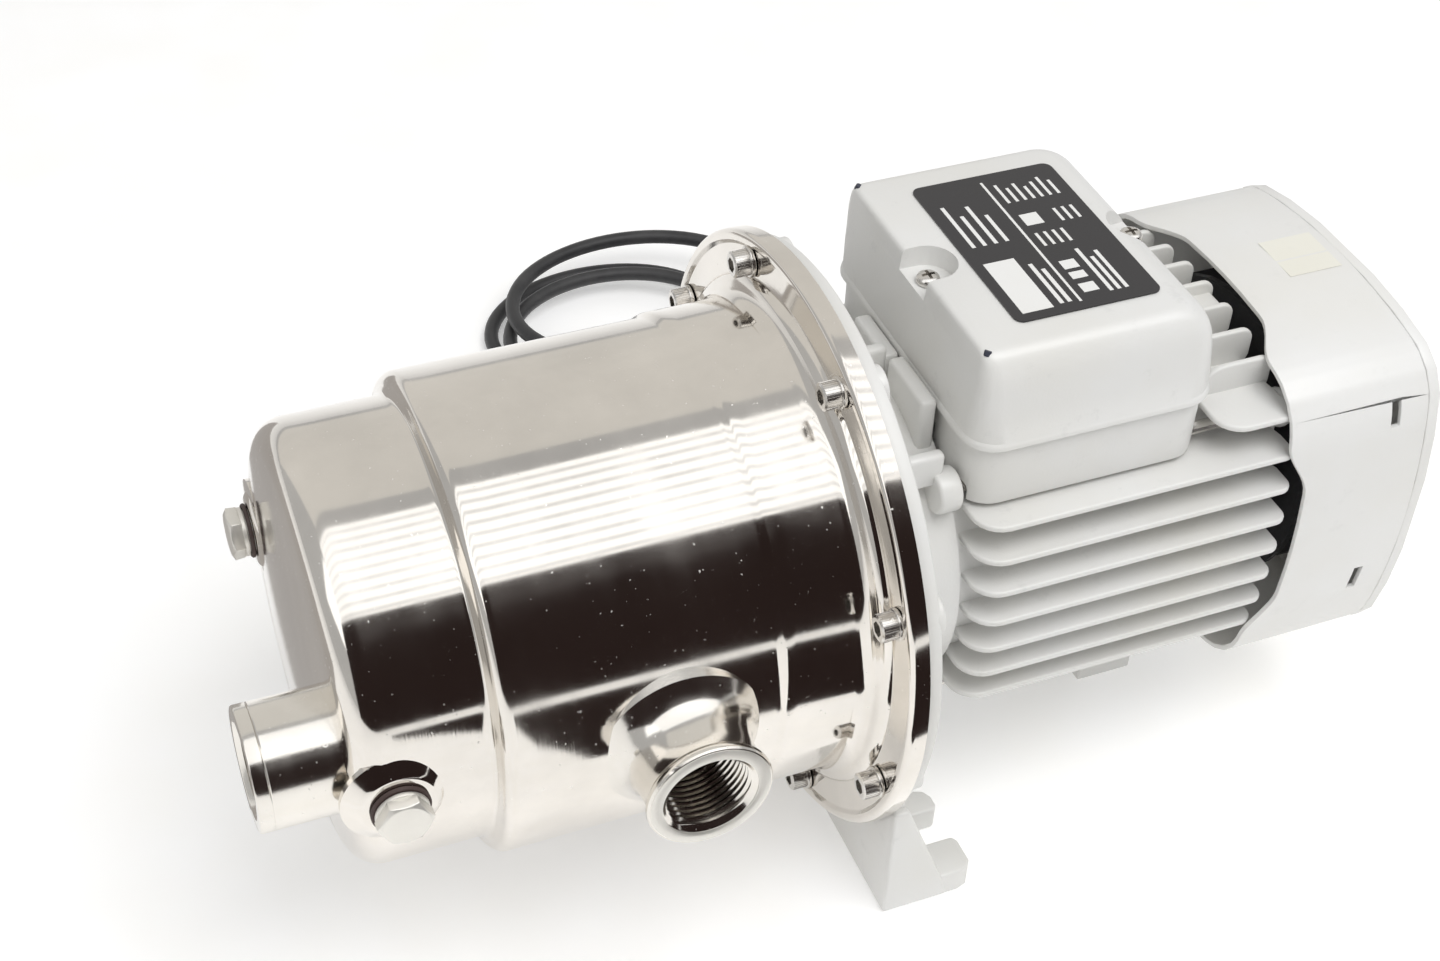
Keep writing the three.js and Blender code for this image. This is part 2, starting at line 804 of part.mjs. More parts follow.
// The upper tie rods pass under the box in two grooves.
const GROOVE_HALF = 3.2;
const rodGrooves = [-ROD_OFFSET, ROD_OFFSET].map((y) =>
  joined(
    rod(GROOVE_HALF, [30, y, ROD_OFFSET], [150, y, ROD_OFFSET], 12),
    block([30, y - GROOVE_HALF, 30], [150, y + GROOVE_HALF, ROD_OFFSET]),
  ),
);
const base = cut(
  joined(
    cut(
      extrudedZ(boxOutline(0, 12), BOX_BOTTOM_Z, PARTING_Z - 0.9),
      cut(
        extrudedZ(boxOutline(WALL, 9.5), 40, 90),
        block([20, -60, 30], [150, 60, BOX_SADDLE_Z + GAP + WALL]),
      ),
    ),
    ...lidPosts,
  ),
  rod(HOUSING_R + 0.8, [30, 0, 0], [150, 0, 0], ROUND),
  block([20, -28.5, 30], [150, 28.5, BOX_SADDLE_Z + GAP]),
  rod(8, [60, 0, 40], [60, 0, 80], 16),
  ...LID_SCREW_X.map((x) => rod(2.3, [x, 0, 75], [x, 0, 100], 8)),
  ...rodGrooves,
  rod(6.3, [GLAND_X, 40, GLAND_Z], [GLAND_X, 70, GLAND_Z]),
);
addPiece("terminal_box_base", base, paint);
addPiece(
  "terminal_box_gasket",
  extrudedZ(boxOutline(0.6, 11.4), PARTING_Z - 0.6, PARTING_Z).subtract(
    extrudedZ(boxOutline(WALL, 9.5), 60, 80),
  ),
  rubber,
);

// The lid is drawn as rounded rectangles at rising heights: [height, left, right, half width, radius].
const LID_RINGS = [
  [PARTING_Z + GAP, 35.5, 134.2, 61, 14],
  [73.5, 35.5, 134.2, 61, 14],
  [74.5, 36.1, 133.7, 60.3, 13.5],
  [86, 36.8, 133.2, 59.5, 13.5],
  [95, 37.3, 131.5, 58.8, 13.5],
  [101, 37.7, 129, 57.6, 13],
  [106, 38.1, 125.5, 55.6, 12],
  [108.8, 38.6, 122.5, 53.4, 11],
  [110, 39.4, 119.5, 51, 10],
  [LID_TOP_Z, 41, 116.5, 48, 9],
];
const outlineAt = ([z, left, right, half, radius]) =>
  roundedRectangle(left, right, -half, half, radius)
    .getPoints(3)
    .map((point) => [point.x, point.y, z]);

// Joins outlines of the same number of points, one above the other, into a solid.
function stacked(outlines) {
  const count = outlines[0].length - 1;
  const rings = outlines.map((outline) => outline.slice(0, count));
  const middle = (ring) =>
    [0, 1, 2].map((k) => ring.reduce((sum, p) => sum + p[k], 0) / count);
  const points = [...rings.flat(), middle(rings[0]), middle(rings.at(-1))];
  const faces = [];
  for (let i = 0; i < count; i++) {
    const next = (i + 1) % count;
    for (let level = 0; level < rings.length - 1; level++) {
      const low = level * count;
      const high = low + count;
      faces.push(low + i, low + next, high + next, low + i, high + next, high + i);
    }
    const top = (rings.length - 1) * count;
    faces.push(points.length - 2, next, i, points.length - 1, top + i, top + next);
  }
  const geometry = new THREE.BufferGeometry();
  geometry.setAttribute(
    "position",
    new THREE.Float32BufferAttribute(points.flat(), 3),
  );
  geometry.setIndex(faces);
  return toSolid(geometry);
}
const LID_WALL = 2.5;
const hollowRings = [0, 3, 5, 8].map((i, level) => {
  const [z, left, right, half, radius] = LID_RINGS[i];
  const inset = LID_WALL + (level === 3 ? 1 : 0);
  const height = [60, z, z, LID_TOP_Z - LID_WALL][level];
  return [height, left + inset, right - inset, half - inset, radius - inset];
});
const LID_SCREW_SEAT_Z = 102;
const POCKET_R = 10;
const pocketShape = (x, radius, low, high) => {
  const outward = x < boxMiddleX ? x - 20 : x + 20;
  const slot = block(
    [Math.min(x, outward), -radius, low],
    [Math.max(x, outward), radius, high],
  );
  return joined(rod(radius, [x, 0, low], [x, 0, high], 16), slot);
};
const lidHollow = cut(
  stacked(hollowRings.map(outlineAt)),
  ...LID_SCREW_X.map((x) =>
    pocketShape(x, POCKET_R + LID_WALL, LID_SCREW_SEAT_Z - LID_WALL, 140),
  ),
);
const lid = cut(
  stacked(LID_RINGS.map(outlineAt)),
  lidHollow,
  ...LID_SCREW_X.map((x) => pocketShape(x, POCKET_R, LID_SCREW_SEAT_Z, 140)),
  ...LID_SCREW_X.map((x) => rod(2.6, [x, 0, 80], [x, 0, 140], 8)),
);
addPiece("terminal_box_lid", lid, paint);
LID_SCREW_X.forEach((x, i) => {
  const head = LID_SCREW_SEAT_Z + GAP;
  addPiece(
    `lid_screw_${i + 1}`,
    joined(
      rod(4.2, [x, 0, head], [x, 0, head + 3], 20, 3.4),
      rod(2, [x, 0, 78], [x, 0, head + 1], 12),
    ),
    screwSteel,
  );
});
addPiece(
  "nameplate",
  extrudedZ(
    roundedRectangle(56.3, 113, -42.3, 42.3, 4),
    LID_TOP_Z + GAP,
    LID_TOP_Z + 0.8,
  ),
  labelBlack,
);
addPiece(
  "terminal_block",
  block([60, -50, BOX_SADDLE_Z + 3.4], [78, -12, BOX_SADDLE_Z + 20]),
  pumpPlastic,
);
addPiece(
  "run_capacitor",
  rod(14, [100, -42, 79.5], [100, 42, 79.5], 24),
  greyPlastic,
);

// ---- Cable gland, strain relief, cord and plug ----
const glandFace = BOX_HALF_Y + GAP;
const alongY = (solid) => solid.rotate([0, 0, 90]).translate([GLAND_X, 0, GLAND_Z]);
addPiece(
  "cable_gland",
  alongY(
    joined(
      rod(11.5, [glandFace, 0, 0], [glandFace + 5, 0, 0], 6),
      turned(
        [
          [glandFace - 9, 4.2],
          [glandFace - 9, 6],
          [glandFace, 6],
          [glandFace, 10],
          [glandFace + 14, 10],
          [glandFace + 18, 7.5],
          [glandFace + 18, 4.2],
        ],
        FINE,
      ),
    ).subtract(rod(4.2, [40, 0, 0], [100, 0, 0])),
  ),
  blackPlastic,
);
const RELIEF_START_Y = glandFace + 18 + GAP;
const RELIEF_END_Y = RELIEF_START_Y + 18;
addPiece(
  "strain_relief",
  alongY(
    rod(6.6, [RELIEF_START_Y, 0, 0], [RELIEF_END_Y, 0, 0], 20, 4.4),
  ),
  rubber,
);

// The cord leaves the gland, drops behind the pump and lies on the floor in a loose coil. Its last
// stretch runs from the coil to the plug.
const CORD_R = CORD_D / 2;
const CORD_FLOOR_Z = FLOOR_Z + CORD_R;
const COIL_CENTRE = [32, 275];
const COIL_R = 72; // outside of the coil
const COIL_BAND = 26; // its turns lie side by side in this width
const COIL_HEIGHT = 2 * CORD_D + 2;
const PLUG_Y = 185;
const PLUG_BACK_X = -84;
const PLUG_R = 18;
const PLUG_Z = FLOOR_Z + PLUG_R;
const CORD_ROUTE = [
  [GLAND_X, RELIEF_END_Y + GAP, GLAND_Z],
  [GLAND_X, 100, 58],
  [GLAND_X, 115, 53.5],
  [GLAND_X, 126, 42],
  [GLAND_X, 130, 26],
  [GLAND_X, 131.5, 0],
  [84.5, 134, -40],
  [83, 142, -72],
  [79, 157, -96],
  [72, 178, -107.5],
  [65, 197, CORD_FLOOR_Z + 0.8],
  [61.5, 206.5, CORD_FLOOR_Z + 0.6],
];
const END_ROUTE = [
  [-10.6, 213.6, CORD_FLOOR_Z + 0.4],
  [-22, 201, CORD_FLOOR_Z + 1],
  [-38, 191, CORD_FLOOR_Z + 4],
  [-58, 186, CORD_FLOOR_Z + 10],
  [-73, PLUG_Y, PLUG_Z],
  [PLUG_BACK_X + GAP, PLUG_Y, PLUG_Z],
];
function tube(route, steps) {
  const circle = new THREE.Shape();
  circle.absarc(0, 0, CORD_R, 0, 2 * Math.PI);
  const extrudePath = new THREE.CatmullRomCurve3(
    route.map((point) => new THREE.Vector3(...point)),
    false,
    "centripetal",
  );
  return toSolid(
    new THREE.ExtrudeGeometry(circle, {
      steps,
      bevelEnabled: false,
      curveSegments: 8,
      extrudePath,
    }),
  );
}
addPiece("power_cord", tube(CORD_ROUTE, 16), rubber);
addPiece(
  "cord_coil",
  ring(COIL_R - COIL_BAND, COIL_R, 0, COIL_HEIGHT, 24)
    .rotate([0, -90, 0])
    .rotate([0, 0, 7.5])
    .translate([...COIL_CENTRE, FLOOR_Z]),
  rubber,
);
addPiece("cord_end", tube(END_ROUTE, 6), rubber);
const PIN_SPACING = 19;
const plugBody = turned(
  [
    [0, 0],
    [0, 6],
    [12, 12],
    [20, PLUG_R],
    [38, PLUG_R],
    [38, 0],
  ],
  20,
);
const plugPins = [-1, 1].map((side) =>
  rod(2.4, [37, (side * PIN_SPACING) / 2, 0], [57, (side * PIN_SPACING) / 2, 0], 10),
);
addPiece(
  "mains_plug",
  joined(plugBody, ...plugPins)
    .rotate([0, 0, 180])
    .translate([PLUG_BACK_X, PLUG_Y, PLUG_Z]),
  rubber,
);

// Everything above moves so that the origin is on the floor under the middle of the pump.
const product = new THREE.Group();
pump.position.set(-(MOUTH_X + REAR_X) / 2, 0, AXIS_HEIGHT);
product.add(pump);

export default product;
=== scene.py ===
# %% [markdown]
# # A shallow well jet pump
#
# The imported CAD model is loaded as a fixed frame. It holds every piece at its true size, with few facets.
# This notebook gives the pieces their looks: round shapes are turned again in smooth steps, edges are
# softened, and every surface gets a finish of its own.

import bpy
import math
import json
from mathutils import Matrix, Vector

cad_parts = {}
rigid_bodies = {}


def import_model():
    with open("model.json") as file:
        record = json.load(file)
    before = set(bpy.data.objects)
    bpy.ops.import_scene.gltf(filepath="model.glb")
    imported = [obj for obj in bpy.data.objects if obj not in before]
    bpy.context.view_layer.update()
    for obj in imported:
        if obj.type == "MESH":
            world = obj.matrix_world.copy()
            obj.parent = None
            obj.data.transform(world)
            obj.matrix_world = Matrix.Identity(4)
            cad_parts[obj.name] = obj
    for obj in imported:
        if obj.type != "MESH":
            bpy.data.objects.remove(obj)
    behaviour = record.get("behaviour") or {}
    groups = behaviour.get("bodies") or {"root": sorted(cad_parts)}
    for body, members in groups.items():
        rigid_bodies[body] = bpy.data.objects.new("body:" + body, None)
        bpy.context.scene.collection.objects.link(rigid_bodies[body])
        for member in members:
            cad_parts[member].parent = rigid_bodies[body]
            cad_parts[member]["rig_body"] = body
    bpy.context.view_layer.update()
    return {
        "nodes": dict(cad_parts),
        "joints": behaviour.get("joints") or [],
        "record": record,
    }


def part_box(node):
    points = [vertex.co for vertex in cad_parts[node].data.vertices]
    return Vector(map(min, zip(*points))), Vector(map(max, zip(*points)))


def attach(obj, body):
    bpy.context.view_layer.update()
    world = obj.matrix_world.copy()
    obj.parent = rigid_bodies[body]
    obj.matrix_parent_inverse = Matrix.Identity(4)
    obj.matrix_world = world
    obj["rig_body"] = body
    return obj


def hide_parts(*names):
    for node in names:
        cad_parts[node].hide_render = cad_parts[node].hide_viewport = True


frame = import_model()
nodes = frame["nodes"]

# %% [markdown]
# ## Places on the pump
#
# A pump is measured from its shaft and from the joint between the casing and the bracket. `at` turns such a
# place, in millimetres, into the frame's metres. Both are read from the frame: the rotor's axis gives the
# height, and the bracket's front face gives the joint.

# %% Places
MM = 0.001
GAP = 0.3
AXIS_HEIGHT = frame["joints"][0]["pos_m"][2] / MM
JOINT_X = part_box("motor_bracket")[0].x / MM - GAP


def at(x, y, z):
    return Vector(((x + JOINT_X) * MM, y * MM, (z + AXIS_HEIGHT) * MM))


def added(name, data):
    """A new object in the scene."""
    thing = bpy.data.objects.new(name, data)
    bpy.context.scene.collection.objects.link(thing)
    return thing


FLOOR_Z = -AXIS_HEIGHT
AXIS = at(0, 0, 0)
print("shaft height", round(AXIS_HEIGHT, 2), "mm, joint at X", round(JOINT_X, 2), "mm")

# %% [markdown]
# ## Camera
#
# The pump is seen from above its discharge side, from the suction end. A long lens keeps the drum's circles
# close to ellipses. The camera is placed by three directions, so its slight roll is exact.

# %% Camera
CAMERA_PLACE = at(-271.0, -549.1, 557.1)
CAMERA_LOOK = Vector((0.2999, 0.6890, -0.6598)).normalized()
CAMERA_UP = Vector((0.2205, 0.6228, 0.7506))
camera_data = bpy.data.cameras.new("camera")
camera_data.lens = 55.0
camera_data.sensor_width = 36.0
camera_data.clip_end = 30
camera = added("camera", camera_data)
bpy.context.scene.camera = camera
right = CAMERA_LOOK.cross(CAMERA_UP).normalized()
upward = right.cross(CAMERA_LOOK)
facing = Matrix((right, upward, -CAMERA_LOOK)).transposed().to_4x4()
camera.matrix_world = Matrix.Translation(CAMERA_PLACE) @ facing
print("camera", [round(v, 3) for v in camera.location])

# %% [markdown]
# ## Material helpers
#
# Every finish has a shader with plain values, a coordinate on the object, and noises that vary the colour,
# the roughness and the relief. A value that is the same all over goes straight on the shader's socket.


# %% Node helpers
def new_material(name, colour, roughness, metallic=0.0):
    material = bpy.data.materials.new(name)
    material.use_nodes = True
    shader = material.node_tree.nodes["Principled BSDF"]
    shader.inputs["Base Color"].default_value = (*colour, 1)
    shader.inputs["Roughness"].default_value = roughness
    shader.inputs["Metallic"].default_value = metallic
    return material, material.node_tree, shader


def object_coordinate(tree, scale=(1, 1, 1), centre=(0, 0, 0)):
    coordinate = tree.nodes.new("ShaderNodeTexCoord")
    mapping = tree.nodes.new("ShaderNodeMapping")
    mapping.inputs["Location"].default_value = [-c * s for c, s in zip(centre, scale)]
    mapping.inputs["Scale"].default_value = scale
    tree.links.new(coordinate.outputs["Object"], mapping.inputs["Vector"])
    return mapping.outputs["Vector"]


def noise(tree, vector, scale, detail=4, roughness=0.55):
    node = tree.nodes.new("ShaderNodeTexNoise")
    node.inputs["Scale"].default_value = scale
    node.inputs["Detail"].default_value = detail
    node.inputs["Roughness"].default_value = roughness
    tree.links.new(vector, node.inputs["Vector"])
    return node.outputs["Fac"]


def spread(tree, value, low, high, to_low=0.0, to_high=1.0):
    node = tree.nodes.new("ShaderNodeMapRange")
    for socket, number in (("From Min", low), ("From Max", high), ("To Min", to_low), ("To Max", to_high)):
        node.inputs[socket].default_value = number
    tree.links.new(value, node.inputs["Value"])
    return node.outputs["Result"]


def blend_colours(tree, factor, first, second):
    node = tree.nodes.new("ShaderNodeMix")
    node.data_type = "RGBA"
    for socket, colour in ((node.inputs[6], first), (node.inputs[7], second)):
        if hasattr(colour, "links"):
            tree.links.new(colour, socket)
        else:
            socket.default_value = (*colour, 1)
    tree.links.new(factor, node.inputs[0])
    return node.outputs[2]


def combine(tree, operation, first, second):
    node = tree.nodes.new("ShaderNodeMath")
    node.operation = operation
    for socket, value in zip(node.inputs, (first, second)):
        if hasattr(value, "links"):
            tree.links.new(value, socket)
        else:
            socket.default_value = value
    return node.outputs[0]


def relief(tree, shader, height, distance):
    bump = tree.nodes.new("ShaderNodeBump")
    bump.inputs["Distance"].default_value = distance
    tree.links.new(height, bump.inputs["Height"])
    tree.links.new(bump.outputs["Normal"], shader.inputs["Normal"])


# %% [markdown]
# ## Polished stainless sheet
#
# The casing is polished while it turns, so it is almost a mirror, with fine lines round the axis and cloudy
# patches where the tool pressed less. The lines' coordinate is the distance along the axis and the distance
# from it, so it is the same all the way round. Specks of dust and dried water lift the roughness.


# %% Stainless finish
def lathe_coordinate(tree):
    """Distance along the shaft and from it, as a vector that is the same all round."""
    centred = object_coordinate(tree, centre=AXIS)
    parts = tree.nodes.new("ShaderNodeSeparateXYZ")
    tree.links.new(centred, parts.inputs[0])
    y, z = parts.outputs["Y"], parts.outputs["Z"]
    squares = combine(tree, "ADD", combine(tree, "MULTIPLY", y, y), combine(tree, "MULTIPLY", z, z))
    radius = combine(tree, "SQRT", squares, 0.0)
    vector = tree.nodes.new("ShaderNodeCombineXYZ")
    tree.links.new(parts.outputs["X"], vector.inputs["X"])
    tree.links.new(radius, vector.inputs["Y"])
    return vector.outputs[0]


def stainless_finish(name, colour, roughness, line_depth, turned=True, metallic=1.0):
    material, tree, shader = new_material(name, colour, roughness, metallic)
    plain = object_coordinate(tree)
    along = lathe_coordinate(tree) if turned else plain
    lines = noise(tree, along, 1400, 3, 0.6)
    clouds = noise(tree, plain, 22, 5, 0.6)
    wipes = noise(tree, object_coordinate(tree, scale=(1, 0.25, 0.25)), 60, 4)
    specks = spread(tree, noise(tree, plain, 620, 2), 0.70, 0.76)
    darker, paler = [c * 0.93 for c in colour], [min(1, c * 1.05) for c in colour]
    tone = blend_colours(tree, spread(tree, clouds, 0.35, 0.68), darker, paler)
    dusty = blend_colours(tree, specks, tone, (0.86, 0.84, 0.80))
    tree.links.new(dusty, shader.inputs["Base Color"])
    cloudy = spread(tree, clouds, 0.3, 0.75, roughness * 0.7, roughness * 1.35)
    sheen = combine(tree, "ADD", cloudy, spread(tree, wipes, 0.45, 0.75, 0.0, roughness * 0.5))
    rough = combine(tree, "ADD", sheen, combine(tree, "MULTIPLY", specks, 0.35))
    tree.links.new(rough, shader.inputs["Roughness"])
    relief(tree, shader, combine(tree, "ADD", lines, specks), line_depth)
    return material


SOCKET_STEEL = stainless_finish("turned stainless", (0.80, 0.77, 0.72), 0.13, 0.000012, False)
FACED_STEEL = stainless_finish("faced steel", (0.80, 0.78, 0.73), 0.38, 0.00002, False, 0.72)
FINISH = {
    "stainless": stainless_finish("polished stainless", (0.80, 0.765, 0.715), 0.085, 0.000008),
    "screw_steel": stainless_finish("screw steel", (0.72, 0.70, 0.67), 0.2, 0.000015, False),
    "dark_steel": stainless_finish("ground shaft steel", (0.42, 0.42, 0.43), 0.3, 0.00001),
    "copper": stainless_finish("lacquered copper", (0.62, 0.25, 0.11), 0.35, 0.00006),
    "lamination": stainless_finish("stacked electrical steel", (0.38, 0.38, 0.39), 0.42, 0.0001),
}
print(len(FINISH) + 2, "metal finishes made")

# %% [markdown]
# ## White paint on cast aluminium, and moulded plastic
#
# The bracket, the housing and the terminal box are castings under thick warm white paint. Its relief is a
# soft orange peel, with faint yellowing in broad patches and grey dirt in scattered specks. Moulded parts
# are smoother in colour, with a fine even grain from the mould.


# %% Paint and plastic finishes
def coated_finish(name, colour, roughness, peel, dirt, grain=900):
    material, tree, shader = new_material(name, colour, roughness)
    shader.inputs["Coat Weight"].default_value = 0.15
    shader.inputs["Coat Roughness"].default_value = 0.25
    place = object_coordinate(tree)
    patches = noise(tree, place, 14, 4)
    grains = noise(tree, place, grain, 3)
    stains = spread(tree, noise(tree, place, 85, 6, 0.7), 0.60, 0.78, 0.0, dirt)
    yellowed = [c * k for c, k in zip(colour, (0.965, 0.955, 0.925))]
    tone = blend_colours(tree, spread(tree, patches, 0.35, 0.7), colour, yellowed)
    soiled = blend_colours(tree, stains, tone, [c * 0.55 for c in colour])
    tree.links.new(soiled, shader.inputs["Base Color"])
    rough = spread(tree, grains, 0.3, 0.7, roughness * 0.85, roughness * 1.15)
    tree.links.new(rough, shader.inputs["Roughness"])
    relief(tree, shader, combine(tree, "ADD", grains, patches), peel)
    return material


COATED = {
    "white_paint": ("warm white paint", (0.73, 0.728, 0.715), 0.38, 0.00005, 0.28),
    "grey_plastic": ("pale moulded plastic", (0.77, 0.768, 0.755), 0.42, 0.00002, 0.12, 1500),
    "black_plastic": ("black moulded plastic", (0.022, 0.022, 0.025), 0.45, 0.00003, 0.2),
    "pump_plastic": ("glass filled plastic", (0.035, 0.035, 0.038), 0.55, 0.00005, 0.2, 700),
    "ceramic": ("glazed ceramic", (0.86, 0.84, 0.78), 0.18, 0.000006, 0.05),
    "carbon": ("seal carbon", (0.03, 0.03, 0.03), 0.5, 0.00003, 0.1),
    "fibre": ("vulcanised fibre", (0.055, 0.032, 0.028), 0.7, 0.00006, 0.3, 500),
    "label_black": ("black label", (0.018, 0.017, 0.02), 0.34, 0.00001, 0.08, 1200),
}
for slot, values in COATED.items():
    FINISH[slot] = coated_finish(*values)
LABEL_PRINT = coated_finish("white print", (0.80, 0.80, 0.79), 0.45, 0.00001, 0.1, 1200)
STICKER_PAPER = coated_finish("cream sticker", (0.80, 0.79, 0.72), 0.5, 0.00001, 0.1, 1200)
BARE_CHIP = coated_finish("bare chip", (0.03, 0.035, 0.06), 0.6, 0.00003, 0.1, 1200)
print("paint and plastic finishes made")

# %% [markdown]
# ## Rubber
#
# The lead, its strain relief and the plug are black rubber. Rubber has a soft wide highlight, a dusty bloom
# that greys it in patches, and a fine grain.


# %% Rubber finish
def rubber_finish(name):
    material, tree, shader = new_material(name, (0.018, 0.018, 0.02), 0.5)
    shader.inputs["Sheen Weight"].default_value = 0.15
    shader.inputs["Specular IOR Level"].default_value = 0.45
    place = object_coordinate(tree)
    bloom = noise(tree, place, 40, 5, 0.65)
    dusty = spread(tree, bloom, 0.4, 0.75)
    tone = blend_colours(tree, dusty, (0.016, 0.016, 0.018), (0.045, 0.044, 0.045))
    tree.links.new(tone, shader.inputs["Base Color"])
    tree.links.new(spread(tree, bloom, 0.3, 0.7, 0.42, 0.62), shader.inputs["Roughness"])
    relief(tree, shader, noise(tree, place, 2400, 2), 0.00003)
    return material


FINISH["rubber"] = rubber_finish("black rubber")
for entry in frame["record"]["subparts"]:
    mesh = nodes[entry["node"]].data
    mesh.materials.clear()
    mesh.materials.append(FINISH[entry["material_slot"]])
print(len(FINISH), "finishes on", len(nodes), "CAD nodes")

# %% [markdown]
# ## The mains lead
#
# A rubber lead is a fixed length of something springy. It leaves the strain relief straight, bends down
# under its own weight, and lies behind the pump in loose crossing turns. The free stretches are listed
# points. Each turn is an arc round a centre of its own, and the height rises where one turn lies on
# another. A curve with a round bevel is the simplest tube, because its own line is the lead's length.

# %% Route of the lead
LEAD_D = 7.0
LEAD_FLOOR_Z = FLOOR_Z + LEAD_D / 2 + 0.2
SMOOTHING_ROUNDS = 14
low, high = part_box("strain_relief")
exit_point = Vector(((low.x + high.x) / 2, high.y + GAP * MM, (low.z + high.z) / 2))
FALL = [(85, 100, 58), (85, 115, 53.5), (85, 126, 42), (85, 130, 26), (85, 131.5, 0), (84.5, 134, -40)]
FALL += [(83, 142, -72), (79, 157, -96), (72, 178, -107.5), (62, 200, -111.8), (47, 219, -112.3)]
FALL += [(28, 230, -112.3)]
TO_PLUG = [(20, 226, 13), (3, 222, 6), (-10.6, 213.6, 1), (-22, 201, 1), (-38, 191, 4), (-58, 186, 10)]
TO_PLUG += [(-73, 185, 14.3)]
PLUG_BACK = at(-83.6, 185, FLOOR_Z + 18)
# Each turn: centre X, centre Y, half width, half depth, first angle, last angle, height over the floor.
TURNS = [
    (24, 279, 61, 45, -105, -390, 0.0),
    (26, 262, 58, 48, -60, -408, 7.6),
    (40, 277, 66, 50, -100, -450, 15.2),
]


def turn_points(turn, count):
    centre_x, centre_y, half_x, half_y, first, last, height = turn
    points = []
    for i in range(count):
        angle = math.radians(first + (last - first) * i / (count - 1))
        x = centre_x + half_x * math.cos(angle)
        y = centre_y + half_y * math.sin(angle)
        points.append((x, y, LEAD_FLOOR_Z + height))
    return points


route = [exit_point] + [at(*point) for point in FALL]
for turn in TURNS:
    route += [at(*point) for point in turn_points(turn, 18)]
route += [at(x, y, LEAD_FLOOR_Z + height) for x, y, height in TO_PLUG]
route.append(PLUG_BACK)
print(len(route), "points on the lead")

# %% [markdown]
# The crossing turns need no sharp steps, so the points are smoothed a few times and then set to equal
# steps. Smoothing pulls a loop in by a little, as a springy lead does by itself.


# %% Shape the lead
def resampled(points, step):
    lengths = [0.0]
    for before, after in zip(points, points[1:]):
        lengths.append(lengths[-1] + (after - before).length)
    count = max(2, round(lengths[-1] / step))
    result = []
    index = 0
    for i in range(count + 1):
        target = lengths[-1] * i / count
        while index < len(points) - 2 and lengths[index + 1] < target:
            index += 1
        span = max(lengths[index + 1] - lengths[index], 1e-9)
        result.append(points[index].lerp(points[index + 1], (target - lengths[index]) / span))
    return result


def smoothed(points, rounds):
    for _ in range(rounds):
        middle = [(a + 2 * b + c) / 4 for a, b, c in zip(points, points[1:], points[2:])]
        points = [points[0], points[1], *middle[1:-1], points[-2], points[-1]]
    return points


route = smoothed(resampled(route, 4 * MM), SMOOTHING_ROUNDS)
route = resampled(route, 5 * MM)
curve = bpy.data.curves.new("power_lead", "CURVE")
curve.dimensions = "3D"
curve.bevel_depth = LEAD_D / 2 * MM
curve.bevel_resolution = 5
curve.use_fill_caps = True
spline = curve.splines.new("POLY")
spline.points.add(len(route) - 1)
for point, place in zip(spline.points, route):
    point.co = (*place, 1)
lead = added("power_lead", curve)
lead.data.materials.append(FINISH["rubber"])
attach(lead, "pump")
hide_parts("power_cord", "cord_coil", "cord_end")

# %% [markdown]
# ## Modelling helpers
#
# Each new piece is made as by hand: a primitive is added at its size and place, and edit mode shapes it.
# These helpers hold the steps that come back all the time.


# %% Selection and finishing
def deselect():
    if bpy.context.mode != "OBJECT":
        bpy.ops.object.mode_set(mode="OBJECT")
    bpy.ops.object.select_all(action="DESELECT")


def focus(piece):
    """Leaves a piece as the only one selected."""
    deselect()
    piece.select_set(True)
    bpy.context.view_layer.objects.active = piece


def edit(piece):
    focus(piece)
    bpy.ops.object.mode_set(mode="EDIT")


def pick(piece, rule):
    """Selects the faces that a rule says yes to."""
    bpy.ops.mesh.select_mode(type="FACE")
    bpy.ops.mesh.select_all(action="DESELECT")
    bpy.ops.object.mode_set(mode="OBJECT")
    for face in piece.data.polygons:
        face.select = bool(rule(face))
    bpy.ops.object.mode_set(mode="EDIT")


def apply_place():
    bpy.ops.object.transform_apply(location=True, rotation=True, scale=True)


def turn_out(piece):
    """Turns the normals outwards, leaves edit mode and puts the origin at the frame's."""
    bpy.ops.mesh.select_all(action="SELECT")
    bpy.ops.mesh.normals_make_consistent(inside=False)
    bpy.ops.object.mode_set(mode="OBJECT")
    apply_place()
    return piece


def settle(piece, name, slot, finish=None, body="pump", smooth=35):
    """Names a finished piece, gives it its finish, smooths it and lets it ride on its body."""
    focus(piece)
    apply_place()
    if smooth:
        bpy.ops.object.shade_smooth_by_angle(angle=math.radians(smooth))
    piece.name = name
    piece.data.name = name
    piece.data.materials.clear()
    piece.data.materials.append(finish or FINISH[slot])
    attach(piece, body)
    return piece


def modify(piece, kind, **values):
    modifier = piece.modifiers.new(kind.lower(), kind)
    for name, value in values.items():
        setattr(modifier, name, value)
    focus(piece)
    bpy.ops.object.modifier_apply(modifier=modifier.name)


def soften(piece, width, segments=3, angle=40):
    limit = math.radians(angle)
    modify(piece, "BEVEL", width=width * MM, segments=segments, limit_method="ANGLE", angle_limit=limit)


def carve(piece, cutter):
    modify(piece, "BOOLEAN", operation="DIFFERENCE", object=cutter, solver="EXACT")
    bpy.data.objects.remove(cutter)


def join(pieces):
    deselect()
    for piece in pieces:
        piece.select_set(True)
    bpy.context.view_layer.objects.active = pieces[0]
    bpy.ops.object.join()
    return pieces[0]


def copied(piece, shift=(0, 0, 0), turn=0.0):
    """A copy with a mesh of its own, turned round the shaft and then moved."""
    focus(piece)
    bpy.ops.object.duplicate()
    copy = bpy.context.object
    turned_place = Matrix.Translation(AXIS) @ Matrix.Rotation(turn, 4, "X") @ Matrix.Translation(-AXIS)
    copy.data.transform(Matrix.Translation(Vector(shift) * MM) @ turned_place)
    return copy


